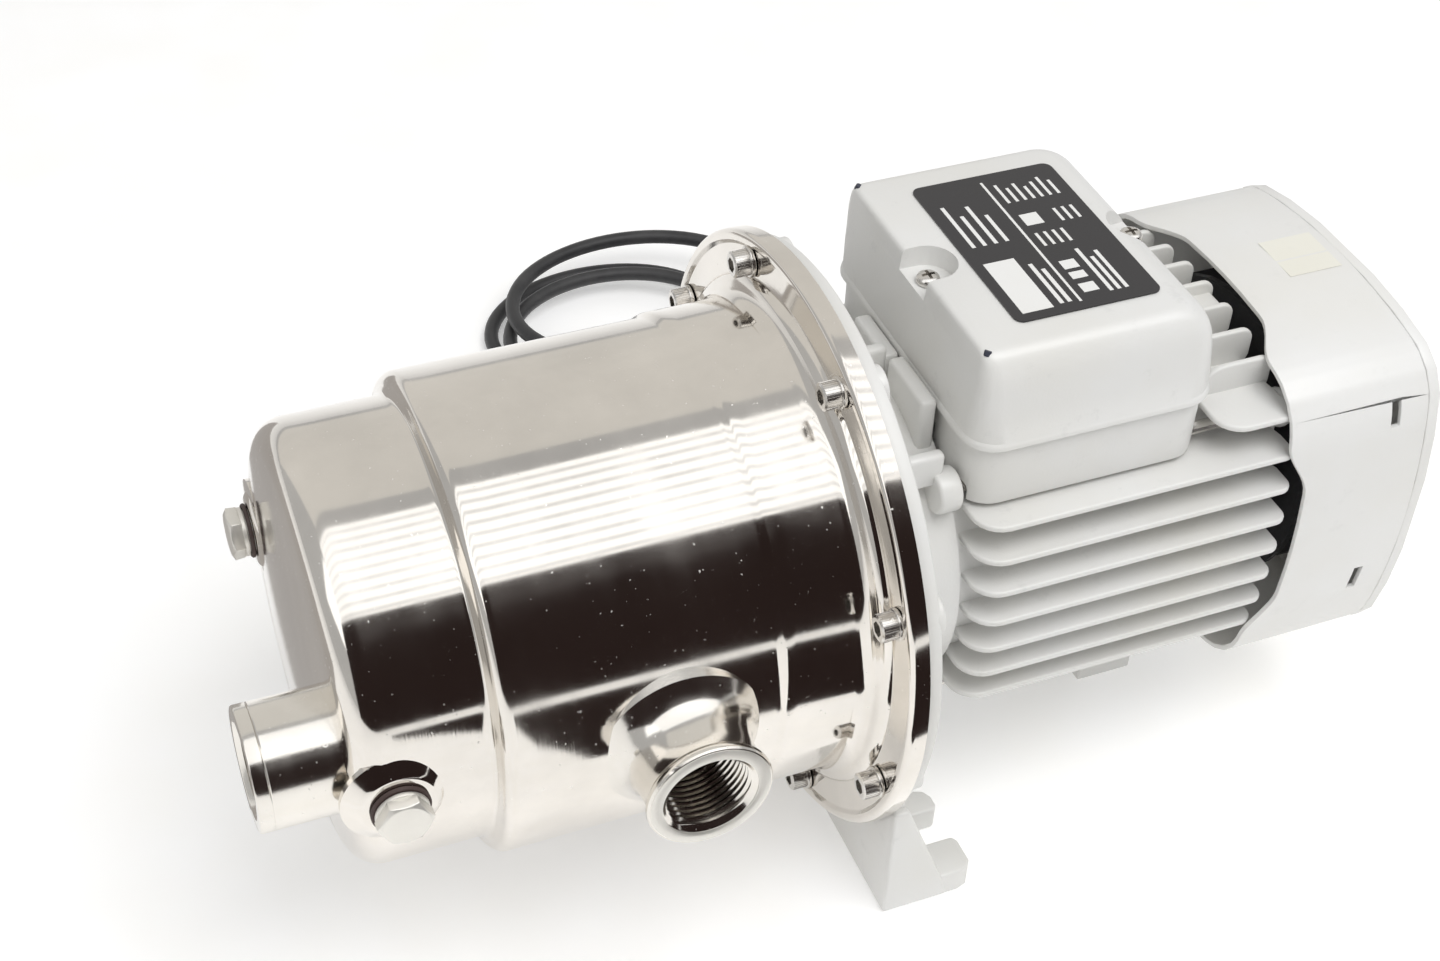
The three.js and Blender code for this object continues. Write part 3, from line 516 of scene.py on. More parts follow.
# %% [markdown]
# A turned piece is one vertex, extruded along the profile and spun round. Its normals are then
# recalculated, because a spun shape can come out inside out.


# %% Turning
def drawn_line(places):
    """One vertex, extruded from place to place. The piece is left in edit mode, all selected."""
    deselect()
    bpy.ops.mesh.primitive_plane_add(size=MM, location=places[0])
    piece = bpy.context.object
    bpy.ops.object.mode_set(mode="EDIT")
    bpy.ops.mesh.select_mode(type="VERT")
    bpy.ops.mesh.merge(type="CENTER")
    for before, after in zip(places, places[1:]):
        bpy.ops.mesh.extrude_vertices_move(TRANSFORM_OT_translate={"value": after - before})
    bpy.ops.mesh.select_all(action="SELECT")
    return piece


def turned(profile, steps, origin, along, outward):
    """Spins [distance, radius] points round the line through origin. A profile off the axis is closed."""
    along, outward = Vector(along), Vector(outward)
    places = [origin + (along * a + outward * r) * MM for a, r in profile]
    if profile[0][1] > 0:
        places.append(places[0])
    piece = drawn_line(places)
    bpy.ops.mesh.spin(steps=steps, angle=2 * math.pi, center=origin, axis=along)
    bpy.ops.mesh.select_all(action="SELECT")
    bpy.ops.mesh.remove_doubles(threshold=0.02 * MM)
    return turn_out(piece)


def arc(a, r, radius, first, last, count):
    """Points of an arc as [distance, radius], with angles in degrees."""
    angles = [math.radians(first + (last - first) * i / count) for i in range(count + 1)]
    return [(a + radius * math.cos(t), r + radius * math.sin(t)) for t in angles]


ALONG_X = ((1, 0, 0), (0, 0, 1))
ALONG_MINUS_Y = ((0, -1, 0), (0, 0, 1))


def rod(radius, start, end, count=32):
    """A cylinder between two places on the pump."""
    first, second = at(*start), at(*end)
    direction = second - first
    deselect()
    bpy.ops.mesh.primitive_cylinder_add(
        vertices=count,
        radius=radius * MM,
        depth=direction.length,
        location=(first + second) / 2,
        rotation=direction.to_track_quat("Z", "X").to_euler(),
    )
    piece = bpy.context.object
    apply_place()
    return piece


def block(low, high):
    first, second = at(*low), at(*high)
    deselect()
    bpy.ops.mesh.primitive_cube_add(size=1, location=(first + second) / 2)
    piece = bpy.context.object
    piece.scale = second - first
    apply_place()
    return piece


def cast_blocks(places, radius):
    """Blocks between pairs of places, softened all round."""
    blocks = [block(low, high) for low, high in places]
    for piece in blocks:
        soften(piece, radius, 3)
    return blocks


def prism(points, push):
    """A flat outline of places on the pump, filled and pushed to a thickness."""
    places = [at(*point) for point in points]
    piece = drawn_line(places + places[:1])
    bpy.ops.mesh.remove_doubles(threshold=0.01 * MM)
    bpy.ops.mesh.select_all(action="SELECT")
    bpy.ops.mesh.edge_face_add()
    bpy.ops.mesh.extrude_region_move(TRANSFORM_OT_translate={"value": Vector(push) * MM})
    return turn_out(piece)


# %% [markdown]
# ## Casing
#
# The casing is one pressed shell: a shallow dome, a narrow front drum, a shoulder, the main drum, and a
# flange folded back over the bracket. It is turned from its whole wall, outside and inside, so that it is
# thin where a port looks into it. The ports' holes are cut last.

# %% Casing shell
NOSE_R = 80.5
DRUM_R = 88.0
REAR_R = 89.5
RIM_R = 113.7
PORT_BORE_R = 16.2
SUCTION_Y = -49.5
DISCHARGE_X = -79.0
shell = [(-192.4, 0), (-192.3, 12), (-192.1, 24), (-191.7, 38), (-191.1, 50), (-190.6, 58)]
shell += arc(-178.2, 68.5, 12, 172, 90, 9)
shell += [(-174, NOSE_R), (-146, NOSE_R)]
shell += arc(-144.4, 82.6, 2.1, -90, -8, 5)
shell += [(-141.6, 83.2)]
shell += arc(-136.6, 83.1, 4.9, 165, 90, 7)
shell += [(-130, DRUM_R), (-45.5, DRUM_R), (-43.8, 88.25), (-42.4, 89.1), (-41, 89.5)]
shell += [(-38, REAR_R), (-16.5, REAR_R)]
shell += arc(-16.5, 96.2, 6.7, -90, -14, 6)
shell += [(-9.0, 96.0), (-8.2, 96.9), (-7.6, 97.3), (-6.6, 97.6), (-6.4, 98.2), (-6.4, 108.4)]
shell += [(-6.9, 109.2), (-7.4, 109.9), (-7.4, 111.2)]
shell += arc(-5.0, 111.3, 2.4, 170, 90, 6)
shell += [(-0.3, RIM_R), (-0.3, RIM_R - 2), (-4.4, RIM_R - 2), (-4.4, 99), (-9, 93), (-14, 87.5)]
shell += [(-40, 87.5), (-44, 86), (-134, 86), (-140, 82), (-143, 78.5), (-176, 78.5)]
shell += [(-186, 74), (-189, 64), (-189.6, 50), (-190.4, 0)]
casing = turned(shell, 180, AXIS, *ALONG_X)
carve(casing, rod(PORT_BORE_R, (-200, SUCTION_Y, 0), (-180, SUCTION_Y, 0)))
carve(casing, rod(PORT_BORE_R, (DISCHARGE_X, -100, 0), (DISCHARGE_X, -70, 0)))
settle(casing, "casing_shell", "stainless", smooth=28)
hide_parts("pump_casing")
print("casing", len(casing.data.polygons), "faces")

# %% [markdown]
# ## Ports
#
# Both ports are turned sockets with an inside pipe thread, cut as rings at its true pitch, because a ring
# and a helix look the same at this size. The discharge socket has a rolled lip and a wide root.

# %% Threaded sockets
THREAD_PITCH = 2.309
THREAD_DEPTH = 1.1
CREST_R = 15.15


def thread_profile(start, end):
    """Inside thread from start to end along the axis: crest, flank, root, flank."""
    points = []
    place = start
    while place + THREAD_PITCH < end:
        points += [(place, CREST_R), (place + 0.4, CREST_R)]
        points += [(place + 1.15, CREST_R + THREAD_DEPTH), (place + 1.5, CREST_R + THREAD_DEPTH)]
        place += THREAD_PITCH
    return points + [(end, CREST_R)]


suction = [(-187, 22), (-214.6, 22), (-215, 21.75), (-215.4, 22), (-219.2, 22), (-219.8, 21.7)]
suction += [(-220, 21.2), (-220, 17.2), (-219.7, 16.8), (-218.6, 15.6)]
suction += thread_profile(-218.2, -192) + [(-187, CREST_R)]
suction_socket = turned(suction, 96, at(0, SUCTION_Y, 0), *ALONG_X)
settle(suction_socket, "suction_port", "stainless", SOCKET_STEEL, smooth=30)
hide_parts("suction_socket")

discharge = [(80, 31.2), (86.5, 29.6), (88.6, 26.5), (91, 23.8), (94.4, 22), (98, 21.1), (103, 20.7)]
discharge += [(108.2, 20.8), (109.3, 21.3), (110, 22), (110.9, 22.4), (112.2, 22.35), (112.9, 21.9)]
discharge += [(113, 21.2), (113, 17.4), (112.7, 16.8), (111.4, 15.9)]
discharge += thread_profile(87, 111)[::-1] + [(80, CREST_R)]
discharge_socket = turned(discharge, 96, at(DISCHARGE_X, 0, 0), *ALONG_MINUS_Y)
settle(discharge_socket, "discharge_port", "stainless", SOCKET_STEEL, smooth=30)
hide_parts("discharge_socket")
lip = [(112.6, 17.0), (112.6, 21.5), (113.1, 21.4), (113.25, 21.1), (113.25, 17.4), (113.1, 17.1)]
discharge_lip = turned(lip, 96, at(DISCHARGE_X, 0, 0), *ALONG_MINUS_Y)
settle(discharge_lip, "discharge_lip", "stainless", FACED_STEEL, smooth=30)
print("sockets turned")

# %% [markdown]
# ## Plugs
#
# The drain and the priming plug are alike: a hexagon head, a round collar and a shank. Under each lies a
# washer, and the sheet is pressed out flat to seat it. The head is cut by a cone, which gives the curved
# corners that a real nut has.

# %% Plug, washer and seat
WASHER_THICK = 1.5
HEXAGON_ACROSS = 17
DRAIN_Y = 65.0
PRIMING_X = -176.0


def make_plug(seat):
    """A plug along -X from its washer's seat, on the pump's axis."""
    under = seat - 2 * GAP - WASHER_THICK
    head = rod(HEXAGON_ACROSS / math.sqrt(3), (under - 1.6, 0, 0), (under - 6.5, 0, 0), 6)
    collar = rod(9.3, (under, 0, 0), (under - 1.7, 0, 0), 48)
    shank = rod(8.2, (under - 0.5, 0, 0), (under + 12, 0, 0), 48)
    cone = [(under - 9, 0), (under - 9, 12), (under - 5.0, 12), (under - 5.0, 10.3), (under - 6.5, 7.9)]
    cone += [(under - 6.52, 0)]
    carve(head, turned(cone, 48, AXIS, *ALONG_X))
    soften(head, 0.25, 2, 30)
    soften(collar, 0.3, 2)
    return join([head, collar, shank])


def make_washer(seat):
    low, high = seat - GAP - WASHER_THICK, seat - GAP
    ring = [(low, 8.6), (low, 9.9), (low + 0.4, 10.3), (high - 0.4, 10.3), (high, 9.9), (high, 8.6)]
    return turned(ring, 64, AXIS, *ALONG_X)


def make_boss(seat, depth):
    """The pressed seat: flat in the middle, flowing into the sheet."""
    profile = [(seat, 8.6), (seat, 12.4), (seat + 0.3, 13.2), (seat + 1.2, 14.4), (seat + depth, 19)]
    profile += [(seat + depth + 2, 19), (seat + depth + 2, 8.6)]
    return turned(profile, 72, AXIS, *ALONG_X)


def stand_on_side(piece):
    """Turns a piece drawn along -X to look to -Y at the priming plug's place."""
    piece.data.transform(
        Matrix.Translation(at(PRIMING_X, 0, 0))
        @ Matrix.Rotation(math.pi / 2, 4, "Z")
        @ Matrix.Translation(-AXIS)
    )


drain_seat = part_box("drain_washer")[1].x / MM - JOINT_X + GAP
priming_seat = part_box("priming_washer")[1].y / MM + GAP
for label, seat, depth in (("drain", drain_seat, 1.6), ("priming", priming_seat, 4.4)):
    plug, washer, boss = make_plug(seat), make_washer(seat), make_boss(seat, depth)
    for piece in (plug, washer, boss):
        if label == "drain":
            piece.data.transform(Matrix.Translation((0, DRAIN_Y * MM, 0)))
        else:
            stand_on_side(piece)
    settle(plug, f"{label}_plug_turned", "screw_steel", FACED_STEEL, f"{label}_plug_thread", 30)
    settle(washer, f"{label}_washer_ring", "fibre", None, f"{label}_washer_travel", 30)
    settle(boss, f"{label}_seat", "stainless", smooth=30)
    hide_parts(f"{label}_plug")
    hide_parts(f"{label}_washer")
print("plugs at", round(drain_seat, 1), round(priming_seat, 1))

# %% [markdown]
# ## Flange screws
#
# Eight socket head cap screws hold the casing to the bracket. One is modelled, with a knurled and chamfered
# head, a hexagon socket and a washer, and copied round the circle.

# %% Flange screws
SCREW_CIRCLE_R = 103.7
SCREW_COUNT = 8
SCREW_ANGLES = [(i + 0.5) / SCREW_COUNT * 2 * math.pi for i in range(SCREW_COUNT)]
under = -6.4 - GAP
head = rod(5, (under - 1.6, 0, 0), (under - 7.6, 0, 0), 60)
edit(head)
side_faces = [p.index for p in head.data.polygons if abs(p.normal.x) < 0.5]
flutes = set(side_faces[::2])
pick(head, lambda face: face.index in flutes)
bpy.ops.mesh.inset(thickness=0.06 * MM, depth=-0.14 * MM, use_individual=True)
bpy.ops.object.mode_set(mode="OBJECT")
ring = [(under - 7.6, 4.1), (under - 7.0, 5.1), (under - 7.0, 7), (under - 9, 7), (under - 9, 4.1)]
carve(head, turned(ring, 60, AXIS, *ALONG_X))
carve(head, rod(5 / math.sqrt(3), (under - 4.4, 0, 0), (under - 9, 0, 0), 6))
captive = rod(5.8, (under, 0, 0), (under - 1.6, 0, 0), 48)
soften(captive, 0.35, 2)
shank = rod(3, (8.3, 0, 0), (under - 1, 0, 0), 24)
cap_screw = join([head, captive, shank])
for i, angle in enumerate(SCREW_ANGLES):
    shift = (0, SCREW_CIRCLE_R * math.cos(angle), SCREW_CIRCLE_R * math.sin(angle))
    screw = copied(cap_screw, shift)
    settle(screw, f"cap_screw_{i + 1}", "screw_steel", smooth=30)
    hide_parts(f"flange_screw_{i + 1}")
bpy.data.objects.remove(cap_screw)
print(SCREW_COUNT, "cap screws")

# %% [markdown]
# ## Motor bracket
#
# The bracket is one casting: a thin round disc behind the casing's flange, a neck to the motor, bosses for
# the screws and the tie rods, a few lugs, and a foot with a front plate, gussets and slotted pads. Its
# shapes are softened one by one and joined, since a casting's parts run into each other.

# %% Bracket disc, neck and bosses
BRACKET_R = 110.0
BOSS_CIRCLE_R = 102.2
ROD_OFFSET = 49.5
FOOT_HALF_Y = 98.2
FOOT_TOP_Z = -105.0
disc = [(GAP, 34), (GAP, 109.0), (0.8, 109.7), (1.6, BRACKET_R), (4.9, BRACKET_R), (5.9, 109.7)]
disc += [(6.5, 108.9), (6.5, 76), (7.6, 73), (10, 70), (14, 67.4), (20, 65.6), (28, 64.4), (36, 64)]
disc += [(36, 26), (40.5, 25), (40.5, 20.3), (27, 20.3), (27, 13), (24, 13), (24, 26), (30, 30)]
disc += [(30, 59), (6.5, 62), (6.5, 34)]
bracket_parts = [turned(disc, 180, AXIS, *ALONG_X)]
for angle in SCREW_ANGLES:
    boss_y = BOSS_CIRCLE_R * math.cos(angle)
    boss_z = BOSS_CIRCLE_R * math.sin(angle)
    boss = rod(7.7, (4, boss_y, boss_z), (8.4, boss_y, boss_z), 32)
    soften(boss, 0.7, 3)
    bracket_parts.append(boss)
for y_side, z_side in ((1, 1), (-1, 1), (-1, -1), (1, -1)):
    y, z = y_side * ROD_OFFSET, z_side * ROD_OFFSET
    ear = rod(8.3, (27, y, z), (36, y, z), 32)
    soften(ear, 1.5, 3)
    bracket_parts.append(ear)
LUGS = [((28.5, -33, 50), (35, -5, 76)), ((28.5, -2, 50), (35, 24, 74)), ((8, -50, 52), (31, -45, 66))]
LUGS += [((8, 45, 52), (31, 50, 66)), ((6, -2.5, 62), (30, 2.5, 78))]
bracket_parts += cast_blocks(LUGS, 1.8)
print(len(bracket_parts), "parts of the bracket")

# %% [markdown]
# The foot's pads have slots open to the back, so that the pump slides onto its bolts. A pad is drawn as an
# outline with the slot's round end in it, and pushed to its thickness.

# %% Bracket foot
SLOT_Y = 74.0
SLOT_HALF = 7.2
PAD_END_X = 38.6
for side in (-1, 1):
    plate_edge = side * (FOOT_HALF_Y - 0.2)
    plate_line = [(GAP + 0.5, side * 1.0, FLOOR_Z + 0.2), (GAP + 0.5, plate_edge, FLOOR_Z + 0.2)]
    for i in range(13):
        turn = math.radians(-27 - 62 * i / 12)
        plate_line.append((GAP + 0.5, side * 106 * math.cos(turn), 106 * math.sin(turn)))
    front_plate = prism(plate_line, (5.6, 0, 0))
    soften(front_plate, 0.8, 2, 60)
    bracket_parts.append(front_plate)
bracket_parts.append(block((GAP + 0.7, -6, FLOOR_Z + 0.4), (6.1, 6, -104)))
for side in (-1, 1):
    outer = side * FOOT_HALF_Y
    gusset_line = [(GAP + 0.7, outer, FLOOR_Z + 0.1), (28, outer, FLOOR_Z + 0.1), (26, outer, -108)]
    gusset_line += [(8.6, outer, -64), (7, outer, -60), (GAP + 0.7, outer, -60)]
    gusset = prism(gusset_line, (0, -side * 5, 0))
    soften(gusset, 1.2, 3)
    slot_end = [(26, SLOT_Y + SLOT_HALF)]
    for i in range(1, 12):
        turn = math.pi / 2 + math.pi * i / 12
        slot_end.append((26 + SLOT_HALF * math.cos(turn), SLOT_Y + SLOT_HALF * math.sin(turn)))
    slot_end.append((26, SLOT_Y - SLOT_HALF))
    outline = [(GAP + 1, 55), (PAD_END_X - 6, 55), (PAD_END_X - 2, 56.5), (PAD_END_X, 60)]
    outline += [(PAD_END_X, SLOT_Y - SLOT_HALF - 2.4), (PAD_END_X - 1.4, SLOT_Y - SLOT_HALF)]
    outline += slot_end[::-1]
    outline += [(PAD_END_X - 1.4, SLOT_Y + SLOT_HALF), (PAD_END_X, SLOT_Y + SLOT_HALF + 2.4)]
    outline += [(PAD_END_X, 93.5), (PAD_END_X - 2, 96.6), (PAD_END_X - 6, FOOT_HALF_Y - 0.3)]
    outline += [(GAP + 1, FOOT_HALF_Y - 0.3)]
    pad = prism([(x, side * y, FLOOR_Z) for x, y in outline], (0, 0, FOOT_TOP_Z - FLOOR_Z))
    soften(pad, 1.1, 3)
    bracket_parts += [gusset, pad]
bracket = settle(join(bracket_parts), "bracket_casting", "white_paint", smooth=32)
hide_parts("motor_bracket", "bracket_foot")
print("bracket", len(bracket.data.polygons), "faces")

# %% [markdown]
# ## Finned motor housing
#
# The housing is a tube with thin cooling fins on all four sides. Fins lie level on the sides and stand
# upright above and below, where they are shorter over the support foot. Their tips follow a gentle bulge.
# A fin is an outline with a round front corner and a round back, pushed to its thickness and softened. It
# is drawn again for each reach, because a stretched copy would stretch its round corners too.

# %% Housing
HOUSING_R = 60.0
FIN_PITCH = 14.0
FIN_END_X = 167.0
FIN_START_X = 38.6
FIN_HALF_THICK = 1.3
LOW_FIN_TRIM = 7.0
CORNER_FIN_LEVEL = 56.6
BOX_CLEAR_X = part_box("terminal_box_lid")[1].x / MM - JOINT_X + 2


def fin_reach(offset):
    return 74 - 0.0026 * offset * offset


def make_fin(start, root, tip, level):
    """A fin that stands out along +Y at a level, with a round front corner and a round back."""
    outline = [(start, root), (start, tip - 11)]
    outline += [(start + 11 + 11 * math.cos(t), tip - 11 + 11 * math.sin(t)) for t in CORNER]
    outline += [(FIN_END_X - 5 + 5 * math.cos(t), tip - 5 + 5 * math.sin(t)) for t in CORNER_BACK]
    outline += [(FIN_END_X, tip - 12), (FIN_END_X - 4, root)]
    fin = prism([(x, y, level - FIN_HALF_THICK) for x, y in outline], (0, 0, 2 * FIN_HALF_THICK))
    soften(fin, 0.9, 3, 50)
    return fin


CORNER = [math.pi - math.pi / 2 * i / 6 for i in range(1, 7)]
CORNER_BACK = [math.pi / 2 - math.pi / 2 * i / 5 for i in range(6)]
tube = [(36.3, 55.4), (36.3, HOUSING_R - 0.5), (37, HOUSING_R), (162.4, HOUSING_R)]
tube += [(163, HOUSING_R - 0.6), (163, 55.4)]
housing_parts = [turned(tube, 128, AXIS, *ALONG_X)]
for k in range(-3, 4):
    offset = k * FIN_PITCH
    root = math.sqrt((HOUSING_R - 3) ** 2 - offset**2)
    side_fin = make_fin(FIN_START_X, root, fin_reach(offset), offset)
    housing_parts += [side_fin, copied(side_fin, turn=math.pi)]
    low_fin = make_fin(FIN_START_X, root - 1.3, fin_reach(offset) - LOW_FIN_TRIM, offset)
    housing_parts.append(copied(low_fin, turn=-math.pi / 2))
    bpy.data.objects.remove(low_fin)
    top_fin = make_fin(BOX_CLEAR_X, root, fin_reach(offset), offset)
    housing_parts.append(copied(top_fin, turn=math.pi / 2))
    bpy.data.objects.remove(top_fin)
housing_parts.append(make_fin(BOX_CLEAR_X, 18, 64.5, CORNER_FIN_LEVEL))
far_fin = make_fin(BOX_CLEAR_X, 18, 64.5, -CORNER_FIN_LEVEL)
housing_parts.append(copied(far_fin, turn=math.pi))
bpy.data.objects.remove(far_fin)
PADS = [((BOX_CLEAR_X, -12.6, 55), (166, 0.6, 69)), ((41.5, -28, 50), (134, 28, 61.3))]
PADS.append(((132, -13, -75.4), (153, 13, -50)))
housing_parts += cast_blocks(PADS, 1.5)
housing = join(housing_parts)
settle(housing, "finned_housing", "white_paint", smooth=32)
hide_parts("motor_housing")
print("housing", len(housing.data.polygons), "faces")

# %% [markdown]
# ## Support foot, rear shield and small mouldings
#
# These small castings and mouldings keep their CAD shapes and only get softer edges. A CAD mesh is left
# alone: a copy is merged, softened and shown in its place.


# %% Softened copies of CAD pieces
def softened_copy(node, name, width, segments=2, angle=35):
    source = nodes[node]
    piece = added(name, source.data.copy())
    edit(piece)
    bpy.ops.mesh.select_all(action="SELECT")
    bpy.ops.mesh.remove_doubles(threshold=0.005 * MM)
    bpy.ops.mesh.select_all(action="SELECT")
    bpy.ops.mesh.dissolve_limited(angle_limit=math.radians(1))
    bpy.ops.object.mode_set(mode="OBJECT")
    soften(piece, width, segments, angle)
    slot = next(e["material_slot"] for e in frame["record"]["subparts"] if e["node"] == node)
    settle(piece, name, slot, body=source["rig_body"])
    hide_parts(node)


softened_copy("support_foot", "support_foot_moulding", 1.6, 3)
softened_copy("rear_shield", "rear_shield_casting", 0.5)
softened_copy("fan_grille", "fan_grille_moulding", 0.7, 3, 30)
softened_copy("terminal_box_base", "terminal_box_casting", 1.0, 3, 50)
softened_copy("cable_gland", "cable_gland_turning", 0.5, 2, 40)
softened_copy("strain_relief", "strain_relief_sleeve", 0.4, 2, 50)
softened_copy("mains_plug", "mains_plug_moulding", 0.6, 2, 40)
print("CAD pieces softened")

# %% [markdown]
# ## Fan cover
#
# The cover is a deep moulding with a rounded square section. Its front edge is cut back in the middle of
# each side, so air leaves over the fins, and its corners reach forward to clip over the tie rods. The
# section is drawn once and pushed back, its ends are opened, and it gets its wall and its clip slots.

# %% Fan cover
COVER_HALF = 75.5
COVER_START_X = 171.0
COVER_END_X = 221.0
CORNER_REACH = 9.0
# Half of one side: distance from the axis, offset from the side's middle. It ends in the cut corner.
COVER_SIDE = [(COVER_HALF, 0), (75.2, 12), (74.2, 25), (72.6, 37), (71.0, 46), (69.6, 52), (67.6, 57.2)]
COVER_SIDE.append((63.2, 63.2))
side_points = [(reach, -offset) for reach, offset in reversed(COVER_SIDE[1:])] + COVER_SIDE
dense_points = []
for before, after in zip(side_points, side_points[1:]):
    for i in range(4):
        dense_points.append(tuple(a + (b - a) * i / 4 for a, b in zip(before, after)))
section = []
for quarter in range(4):
    turn = quarter * math.pi / 2
    for y, z in dense_points:
        py = y * math.cos(turn) - z * math.sin(turn)
        pz = y * math.sin(turn) + z * math.cos(turn)
        section.append((COVER_START_X, py, pz))
cover = prism(section, (COVER_END_X - COVER_START_X, 0, 0))
edit(cover)
front_x = at(COVER_START_X, 0, 0).x
pick(cover, lambda face: abs(face.normal.x) > 0.9)
bpy.ops.mesh.delete(type="FACE")
bpy.ops.object.mode_set(mode="OBJECT")
for vertex in cover.data.vertices:
    if vertex.co.x < front_x + 0.1 * MM:
        y = abs(vertex.co.y / MM)
        z = abs(vertex.co.z / MM - AXIS_HEIGHT)
        corner = min(1.0, max(0.0, (min(y, z) - 26) / 22))
        vertex.co.x -= CORNER_REACH * MM * corner * corner * (3 - 2 * corner)
edit(cover)
turn_out(cover)
modify(cover, "SOLIDIFY", thickness=2 * MM, offset=-1)
for y_side in (-1, 1):
    for z_low, z_high in ((46, 57), (-34, -22)):
        near, far = sorted((y_side * 60, y_side * 80))
        carve(cover, block((205, near, z_low), (209, far, z_high)))
soften(cover, 0.6, 3, 50)
settle(cover, "fan_cover_moulding", "grey_plastic", smooth=35)
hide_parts("fan_cover")
print("fan cover", len(cover.data.polygons), "faces")

# %% [markdown]
# ## Terminal box lid
#
# The lid has steep sides towards the pump and a wide rounded slope towards the fan. It is a rounded
# rectangle that rises in steps, each a little smaller. Two notches let the screws sit low. A smaller copy,
# cut from below, leaves a thin wall.

# %% Lid
LID_TOP_Z = 110.4
PARTING_Z = 71.3
# Each step: height, left end, right end, half width, corner radius, radius of the pump side's corners.
LID_STEPS = [
    (PARTING_Z, 35.8, 133.9, 60.7, 13.7, 12.5),
    (71.7, 35.5, 134.2, 61, 14, 12.5),
    (73.0, 35.5, 134.2, 61, 14, 12.5),
    (73.8, 35.8, 133.9, 60.7, 13.8, 12.0),
    (74.5, 36.3, 133.5, 60.2, 13.6, 11.5),
    (86, 36.9, 133.0, 59.4, 13.5, 9),
    (92, 37.2, 132.3, 59.0, 13.5, 8.2),
    (97, 37.4, 130.8, 58.7, 12.4, 7.4),
    (101, 37.6, 128.9, 58.3, 11.8, 6.8),
    (104, 37.8, 127.0, 57.7, 11.2, 6.2),
    (106.5, 38.0, 124.9, 56.8, 10.4, 5.6),
    (108.3, 38.2, 122.8, 55.5, 9.6, 5.0),
    (109.5, 38.6, 120.6, 54.0, 8.8, 4.6),
    (110.1, 39.3, 118.6, 52.6, 8.2, 4.3),
    (LID_TOP_Z, 40.3, 116.8, 51.2, 7.8, 4.0),
]
CORNER_STEPS = 9


def lid_outline(left, right, half, radius, left_radius=None):
    """A rounded rectangle, whose corners towards the pump may be sharper."""
    tight = left_radius or radius
    points = []
    for x, y, first, r in (
        (right - radius, -half + radius, -90, radius),
        (right - radius, half - radius, 0, radius),
        (left + tight, half - tight, 90, tight),
        (left + tight, -half + tight, 180, tight),
    ):
        for i in range(CORNER_STEPS + 1):
            turn = math.radians(first + 90 * i / CORNER_STEPS)
            points.append((x + r * math.cos(turn), y + r * math.sin(turn)))
    return points


def risen(steps):
    """Draws the first outline and extrudes it upwards, fitting each new ring to its step."""
    height, *shape = steps[0]
    piece = prism([(x, y, height) for x, y in lid_outline(*shape)], (0, 0, steps[1][0] - height))
    edit(piece)
    for before, after in zip(steps, steps[1:]):
        top = at(0, 0, after[0]).z
        if after is not steps[1]:
            rise = (0, 0, (after[0] - before[0]) * MM)
            below_top = at(0, 0, before[0]).z - 0.01 * MM
            pick(piece, lambda face: face.normal.z > 0.99 and face.center.z > below_top)
            bpy.ops.mesh.extrude_region_move(TRANSFORM_OT_translate={"value": rise})
        bpy.ops.object.mode_set(mode="OBJECT")
        ring = [v for v in piece.data.vertices if abs(v.co.z - top) < 0.01 * MM]
        targets = [at(x, y, after[0]) for x, y in lid_outline(*after[1:])]
        before_ring = [at(x, y, after[0]) for x, y in lid_outline(*before[1:])]
        for vertex in ring:
            nearest = min(range(len(before_ring)), key=lambda i: (before_ring[i] - vertex.co).length)
            vertex.co = targets[nearest]
        bpy.ops.object.mode_set(mode="EDIT")
    bpy.ops.object.mode_set(mode="OBJECT")
    return piece


LID_SCREWS_X = (44.0, 125.5)
SCREW_SEAT_Z = 102.0
NOTCH_R = 10.0


def notch(x, radius, low):
    """The space over a lid screw, round towards the lid's middle and open at its end."""
    outward = -1 if x < 80 else 1
    outline = []
    for i in range(17):
        turn = math.pi / 2 + math.pi * i / 16
        outline.append((x + outward * radius * math.cos(turn), radius * math.sin(turn)))
    outline = [(x + outward * 20, radius)] + outline + [(x + outward * 20, -radius)]
    return prism([(px, py, low) for px, py in outline], (0, 0, 40))


lid = risen(LID_STEPS)
inner_steps = [(60, 38, 131.7, 58.5, 11.5), (86, 39.4, 130.5, 56.9, 11), (101, 40.1, 126.4, 55.1, 10.5)]
inner_steps.append((107.9, 41.5, 119, 50, 8))
hollow = risen(inner_steps)
for x in LID_SCREWS_X:
    carve(hollow, notch(x, NOTCH_R + 2.5, SCREW_SEAT_Z - 2.5))
carve(lid, hollow)
for x in LID_SCREWS_X:
    carve(lid, notch(x, NOTCH_R, SCREW_SEAT_Z))
    carve(lid, rod(2.6, (x, 0, 90), (x, 0, 140), 24))
soften(lid, 0.7, 3, 50)
settle(lid, "terminal_box_cover", "white_paint", smooth=32)
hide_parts("terminal_box_lid")
print("lid", len(lid.data.polygons), "faces")

# %% [markdown]
# ## Lid screws
#
# Two pan head screws hold the lid. The head is a turned dome, and two crossed blades cut its recess.

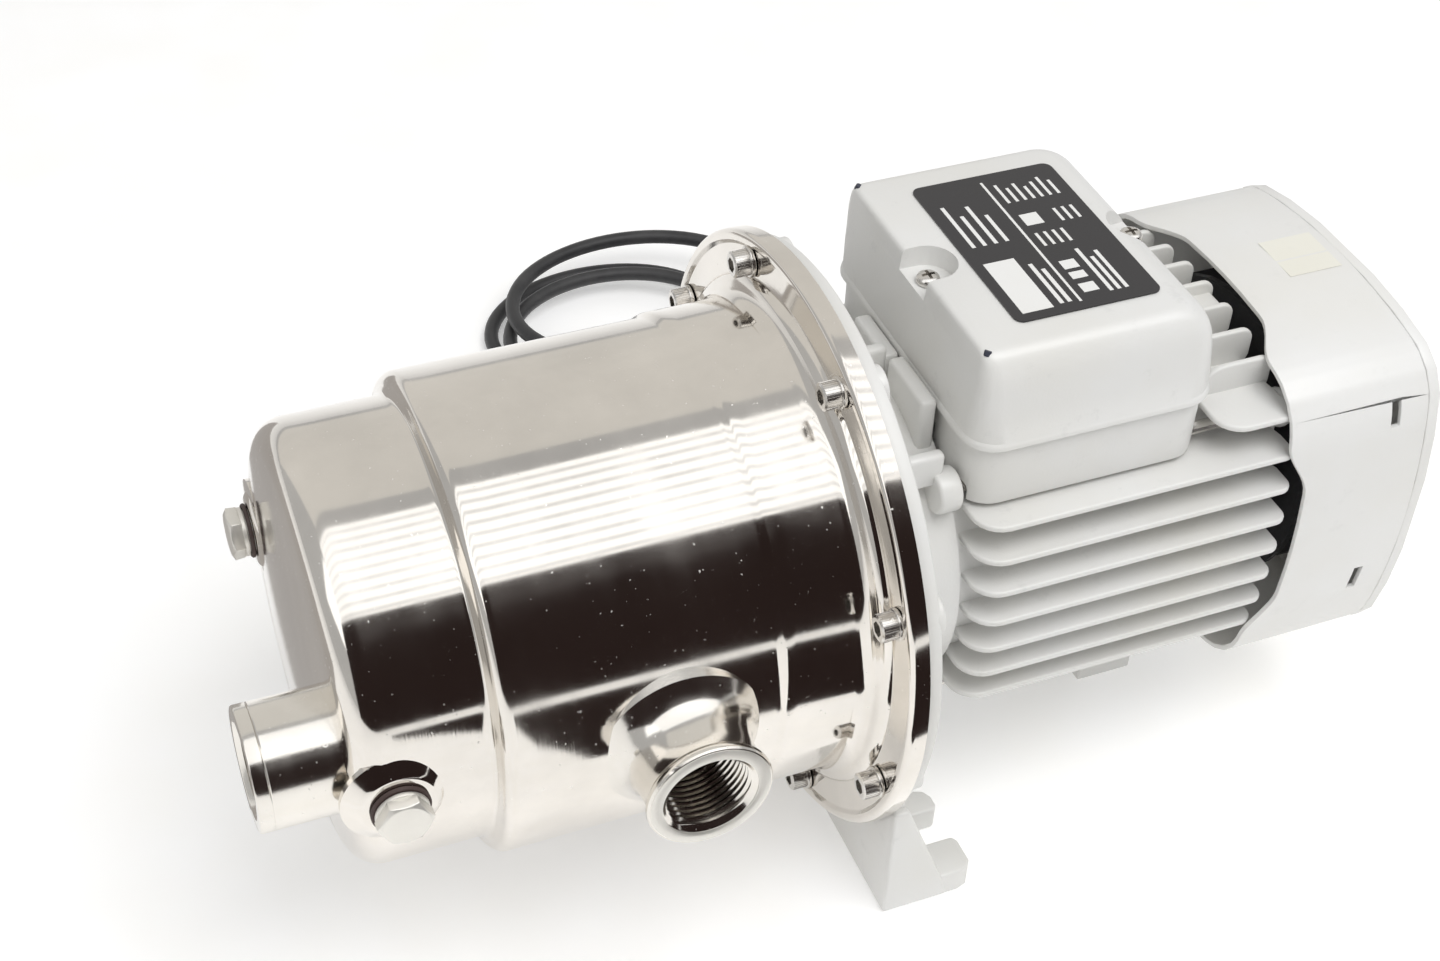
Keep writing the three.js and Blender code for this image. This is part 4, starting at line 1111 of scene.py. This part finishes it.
# %% Lid screws
for i, x in enumerate(LID_SCREWS_X):
    seat = SCREW_SEAT_Z + GAP
    dome = [(seat - 8, 0), (seat - 8, 2), (seat, 2), (seat, 4.3), (seat + 1.2, 4.35), (seat + 2.2, 3.9)]
    dome += [(seat + 2.8, 3.0), (seat + 3.1, 1.6), (seat + 3.2, 0)]
    screw = turned(dome, 48, at(x, 0, 0), (0, 0, 1), (1, 0, 0))
    carve(screw, block((x - 2.5, -0.6, seat + 1), (x + 2.5, 0.6, seat + 6)))
    carve(screw, block((x - 0.6, -2.5, seat + 1), (x + 0.6, 2.5, seat + 6)))
    settle(screw, f"pan_screw_{i + 1}", "screw_steel", smooth=35)
    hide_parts(f"lid_screw_{i + 1}")
print("lid screws at", LID_SCREWS_X)

# %% [markdown]
# ## Nameplate
#
# The plate is a thin black label with rounded corners. Its print is generic: white bars where a maker puts
# a name and ratings, with no letters. Each bar is a thin raised block.

# %% Nameplate and print
plate_low, plate_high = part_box("nameplate")
PLATE_X = (plate_low.x / MM - JOINT_X, plate_high.x / MM - JOINT_X)
PLATE_HALF = plate_high.y / MM
PLATE_TOP = plate_high.z / MM - AXIS_HEIGHT


def plate_point(across, along, z):
    """A place on the plate: across from its pump end, along from its near end, in millimetres."""
    return (PLATE_X[0] + across, -PLATE_HALF + along, z)


plate_line = [(x, y, PLATE_TOP - 0.5) for x, y in lid_outline(*PLATE_X, PLATE_HALF, 3.5)]
plate = prism(plate_line, (0, 0, 0.45))
settle(plate, "rating_plate", "label_black", smooth=0)
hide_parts("nameplate")

# Each bar: across, along, width across, length along.
bars = [(4, 4, 12, 30), (19, 5, 1.6, 24), (22, 5, 1.6, 20), (26, 4, 1.0, 76), (30, 50, 7, 7)]
bars += [(30, 8, 6, 5), (30, 16, 6, 4), (30, 22, 6, 5), (39, 6, 1.5, 26), (42, 6, 1.5, 20)]
bars.append((45, 6, 1.5, 23))
for row in range(7):
    across = 30 + row * 3.4
    bars.append((across, 37 if row < 4 else 49, 1.2, 8))
    bars.append((across, 65, 1.2, 12 - (row * 3) % 5))
for row in range(4):
    bars.append((5 + row * 4.4, 44, 1.5, 26 - (row * 7) % 12))
print_parts = []
for across, along, wide, long in bars:
    bar = block(
        plate_point(across, along, PLATE_TOP - 0.06),
        plate_point(across + wide, along + long, PLATE_TOP - 0.01),
    )
    print_parts.append(bar)
settle(join(print_parts), "rating_print", "label_black", LABEL_PRINT, smooth=0)
print(len(bars), "printed bars")

# %% [markdown]
# ## Stickers and chips
#
# A pale blank sticker lies on the fan cover, and handling has knocked the paint off two corners of the lid.

# %% Small marks
sticker = block((194, -10, 75.36), (217, 13, 75.49))
soften(sticker, 0.06, 1)
settle(sticker, "blank_sticker", "grey_plastic", STICKER_PAPER, smooth=0)
for end in (-1, 1):
    chip = rod(1.3, (39.9, end * 52.2, 108.6), (40.5, end * 51.7, 110.3), 7)
    settle(chip, f"corner_chip_{1 if end < 0 else 2}", "white_paint", BARE_CHIP, smooth=0)
print("small marks placed")

# %% [markdown]
# ## Studio
#
# The pump stands on a pale floor under soft light. A polished drum shows mostly what stands round it, so
# the studio is built for its reflections: a lit panel with narrow slats overhead, dark flags in front, a
# pale sky behind and a grey card low at the back. Only reflections see them, as if they stood just outside
# the picture.

# %% Floor, light and flags
LAMP_TARGET = Vector((0, 0, 0.1))
FLAG_BROWN = (0.04, 0.026, 0.024)
FLOOR_CARD_Z = -112
scene = bpy.context.scene
scene.view_settings.view_transform = "Standard"
deselect()
bpy.ops.mesh.primitive_plane_add(size=14, location=(0, 0, -0.0005))
floor = bpy.context.object
floor.name = "studio_floor"
floor_finish = coated_finish("pale floor", (0.80, 0.80, 0.80), 0.75, 0.00002, 0.0)
floor_shader = floor_finish.node_tree.nodes["Principled BSDF"]
floor_shader.inputs["Emission Color"].default_value = (1, 1, 1, 1)
floor_shader.inputs["Emission Strength"].default_value = 0.33
floor.data.materials.append(floor_finish)
world = bpy.data.worlds.new("studio")
scene.world = world
world.use_nodes = True
background = world.node_tree.nodes["Background"]
background.inputs["Color"].default_value = (1, 1, 1, 1)
background.inputs["Strength"].default_value = 0.5


def soft_lamp(name, place, size, power):
    data = bpy.data.lights.new(name, "AREA")
    data.shape = "RECTANGLE"
    data.size, data.size_y = size
    data.energy = power
    lamp = added(name, data)
    lamp.location = place
    direction = LAMP_TARGET - Vector(place)
    lamp.rotation_euler = direction.to_track_quat("-Z", "Y").to_euler()


def reflection_card(name, place, target, size, colour, strength, slats=0.0):
    """A panel that only reflections see. Slats cut its light into narrow lines along X."""
    deselect()
    bpy.ops.mesh.primitive_plane_add(size=1)
    card = bpy.context.object
    card.name = name
    card.scale = (*size, 1)
    card.location = place
    direction = target - place
    card.rotation_euler = direction.to_track_quat("Z", "Y").to_euler()
    material = bpy.data.materials.new(name)
    material.use_nodes = True
    tree = material.node_tree
    tree.nodes.remove(tree.nodes["Principled BSDF"])
    emission = tree.nodes.new("ShaderNodeEmission")
    emission.inputs["Color"].default_value = (*colour, 1)
    emission.inputs["Strength"].default_value = strength
    if slats:
        place_on_card = object_coordinate(tree)
        wave = tree.nodes.new("ShaderNodeTexWave")
        wave.bands_direction = "Y"
        wave.inputs["Scale"].default_value = slats
        tree.links.new(place_on_card, wave.inputs["Vector"])
        light = spread(tree, wave.outputs["Fac"], 0.1, 0.45, 0.55, 1.0)
        tree.links.new(combine(tree, "MULTIPLY", light, strength), emission.inputs["Strength"])
    tree.links.new(emission.outputs[0], tree.nodes["Material Output"].inputs["Surface"])
    card.data.materials.append(material)
    card.visible_camera = False
    card.visible_diffuse = False
    card.visible_shadow = False


def card_round(name, elevation, distance, size, colour, strength, slats=0.0):
    """A card level with the shaft, at an angle round it: 0 is in front and 90 overhead."""
    turn = math.radians(elevation)
    place = AXIS + Vector((0.3, -math.cos(turn), math.sin(turn))) * distance
    target = Vector((place.x, AXIS.y, AXIS.z))
    reflection_card(name, place, target, size, colour, strength, slats)


def card_on_floor(name, x, y, size, colour, strength):
    """A card that lies just over the floor and looks up."""
    place = at(x, y, FLOOR_CARD_Z)
    reflection_card(name, place, place + Vector((0, 0, 1)), size, colour, strength)


soft_lamp("key", (0.35, -0.80, 1.95), (1.5, 1.2), 25)
soft_lamp("fill", (-1.4, -0.6, 1.2), (1.2, 0.8), 3)
card_round("slatted_panel", 74, 1.15, (3.0, 1.0), (1, 1, 1), 1.5, slats=3.0)
card_round("dark_flag_upright", 24.5, 1.0, (3.0, 1.04), FLAG_BROWN, 0.6)
card_round("pale_sky", 141, 1.2, (3.0, 1.62), (1, 0.975, 0.93), 0.72)
card_on_floor("dark_flag_low", 612, -605, (1.375, 0.79), FLAG_BROWN, 0.6)
card_on_floor("grey_card_low", -450, 480, (0.5, 0.9), (0.42, 0.40, 0.385), 1.0)
print("studio ready")
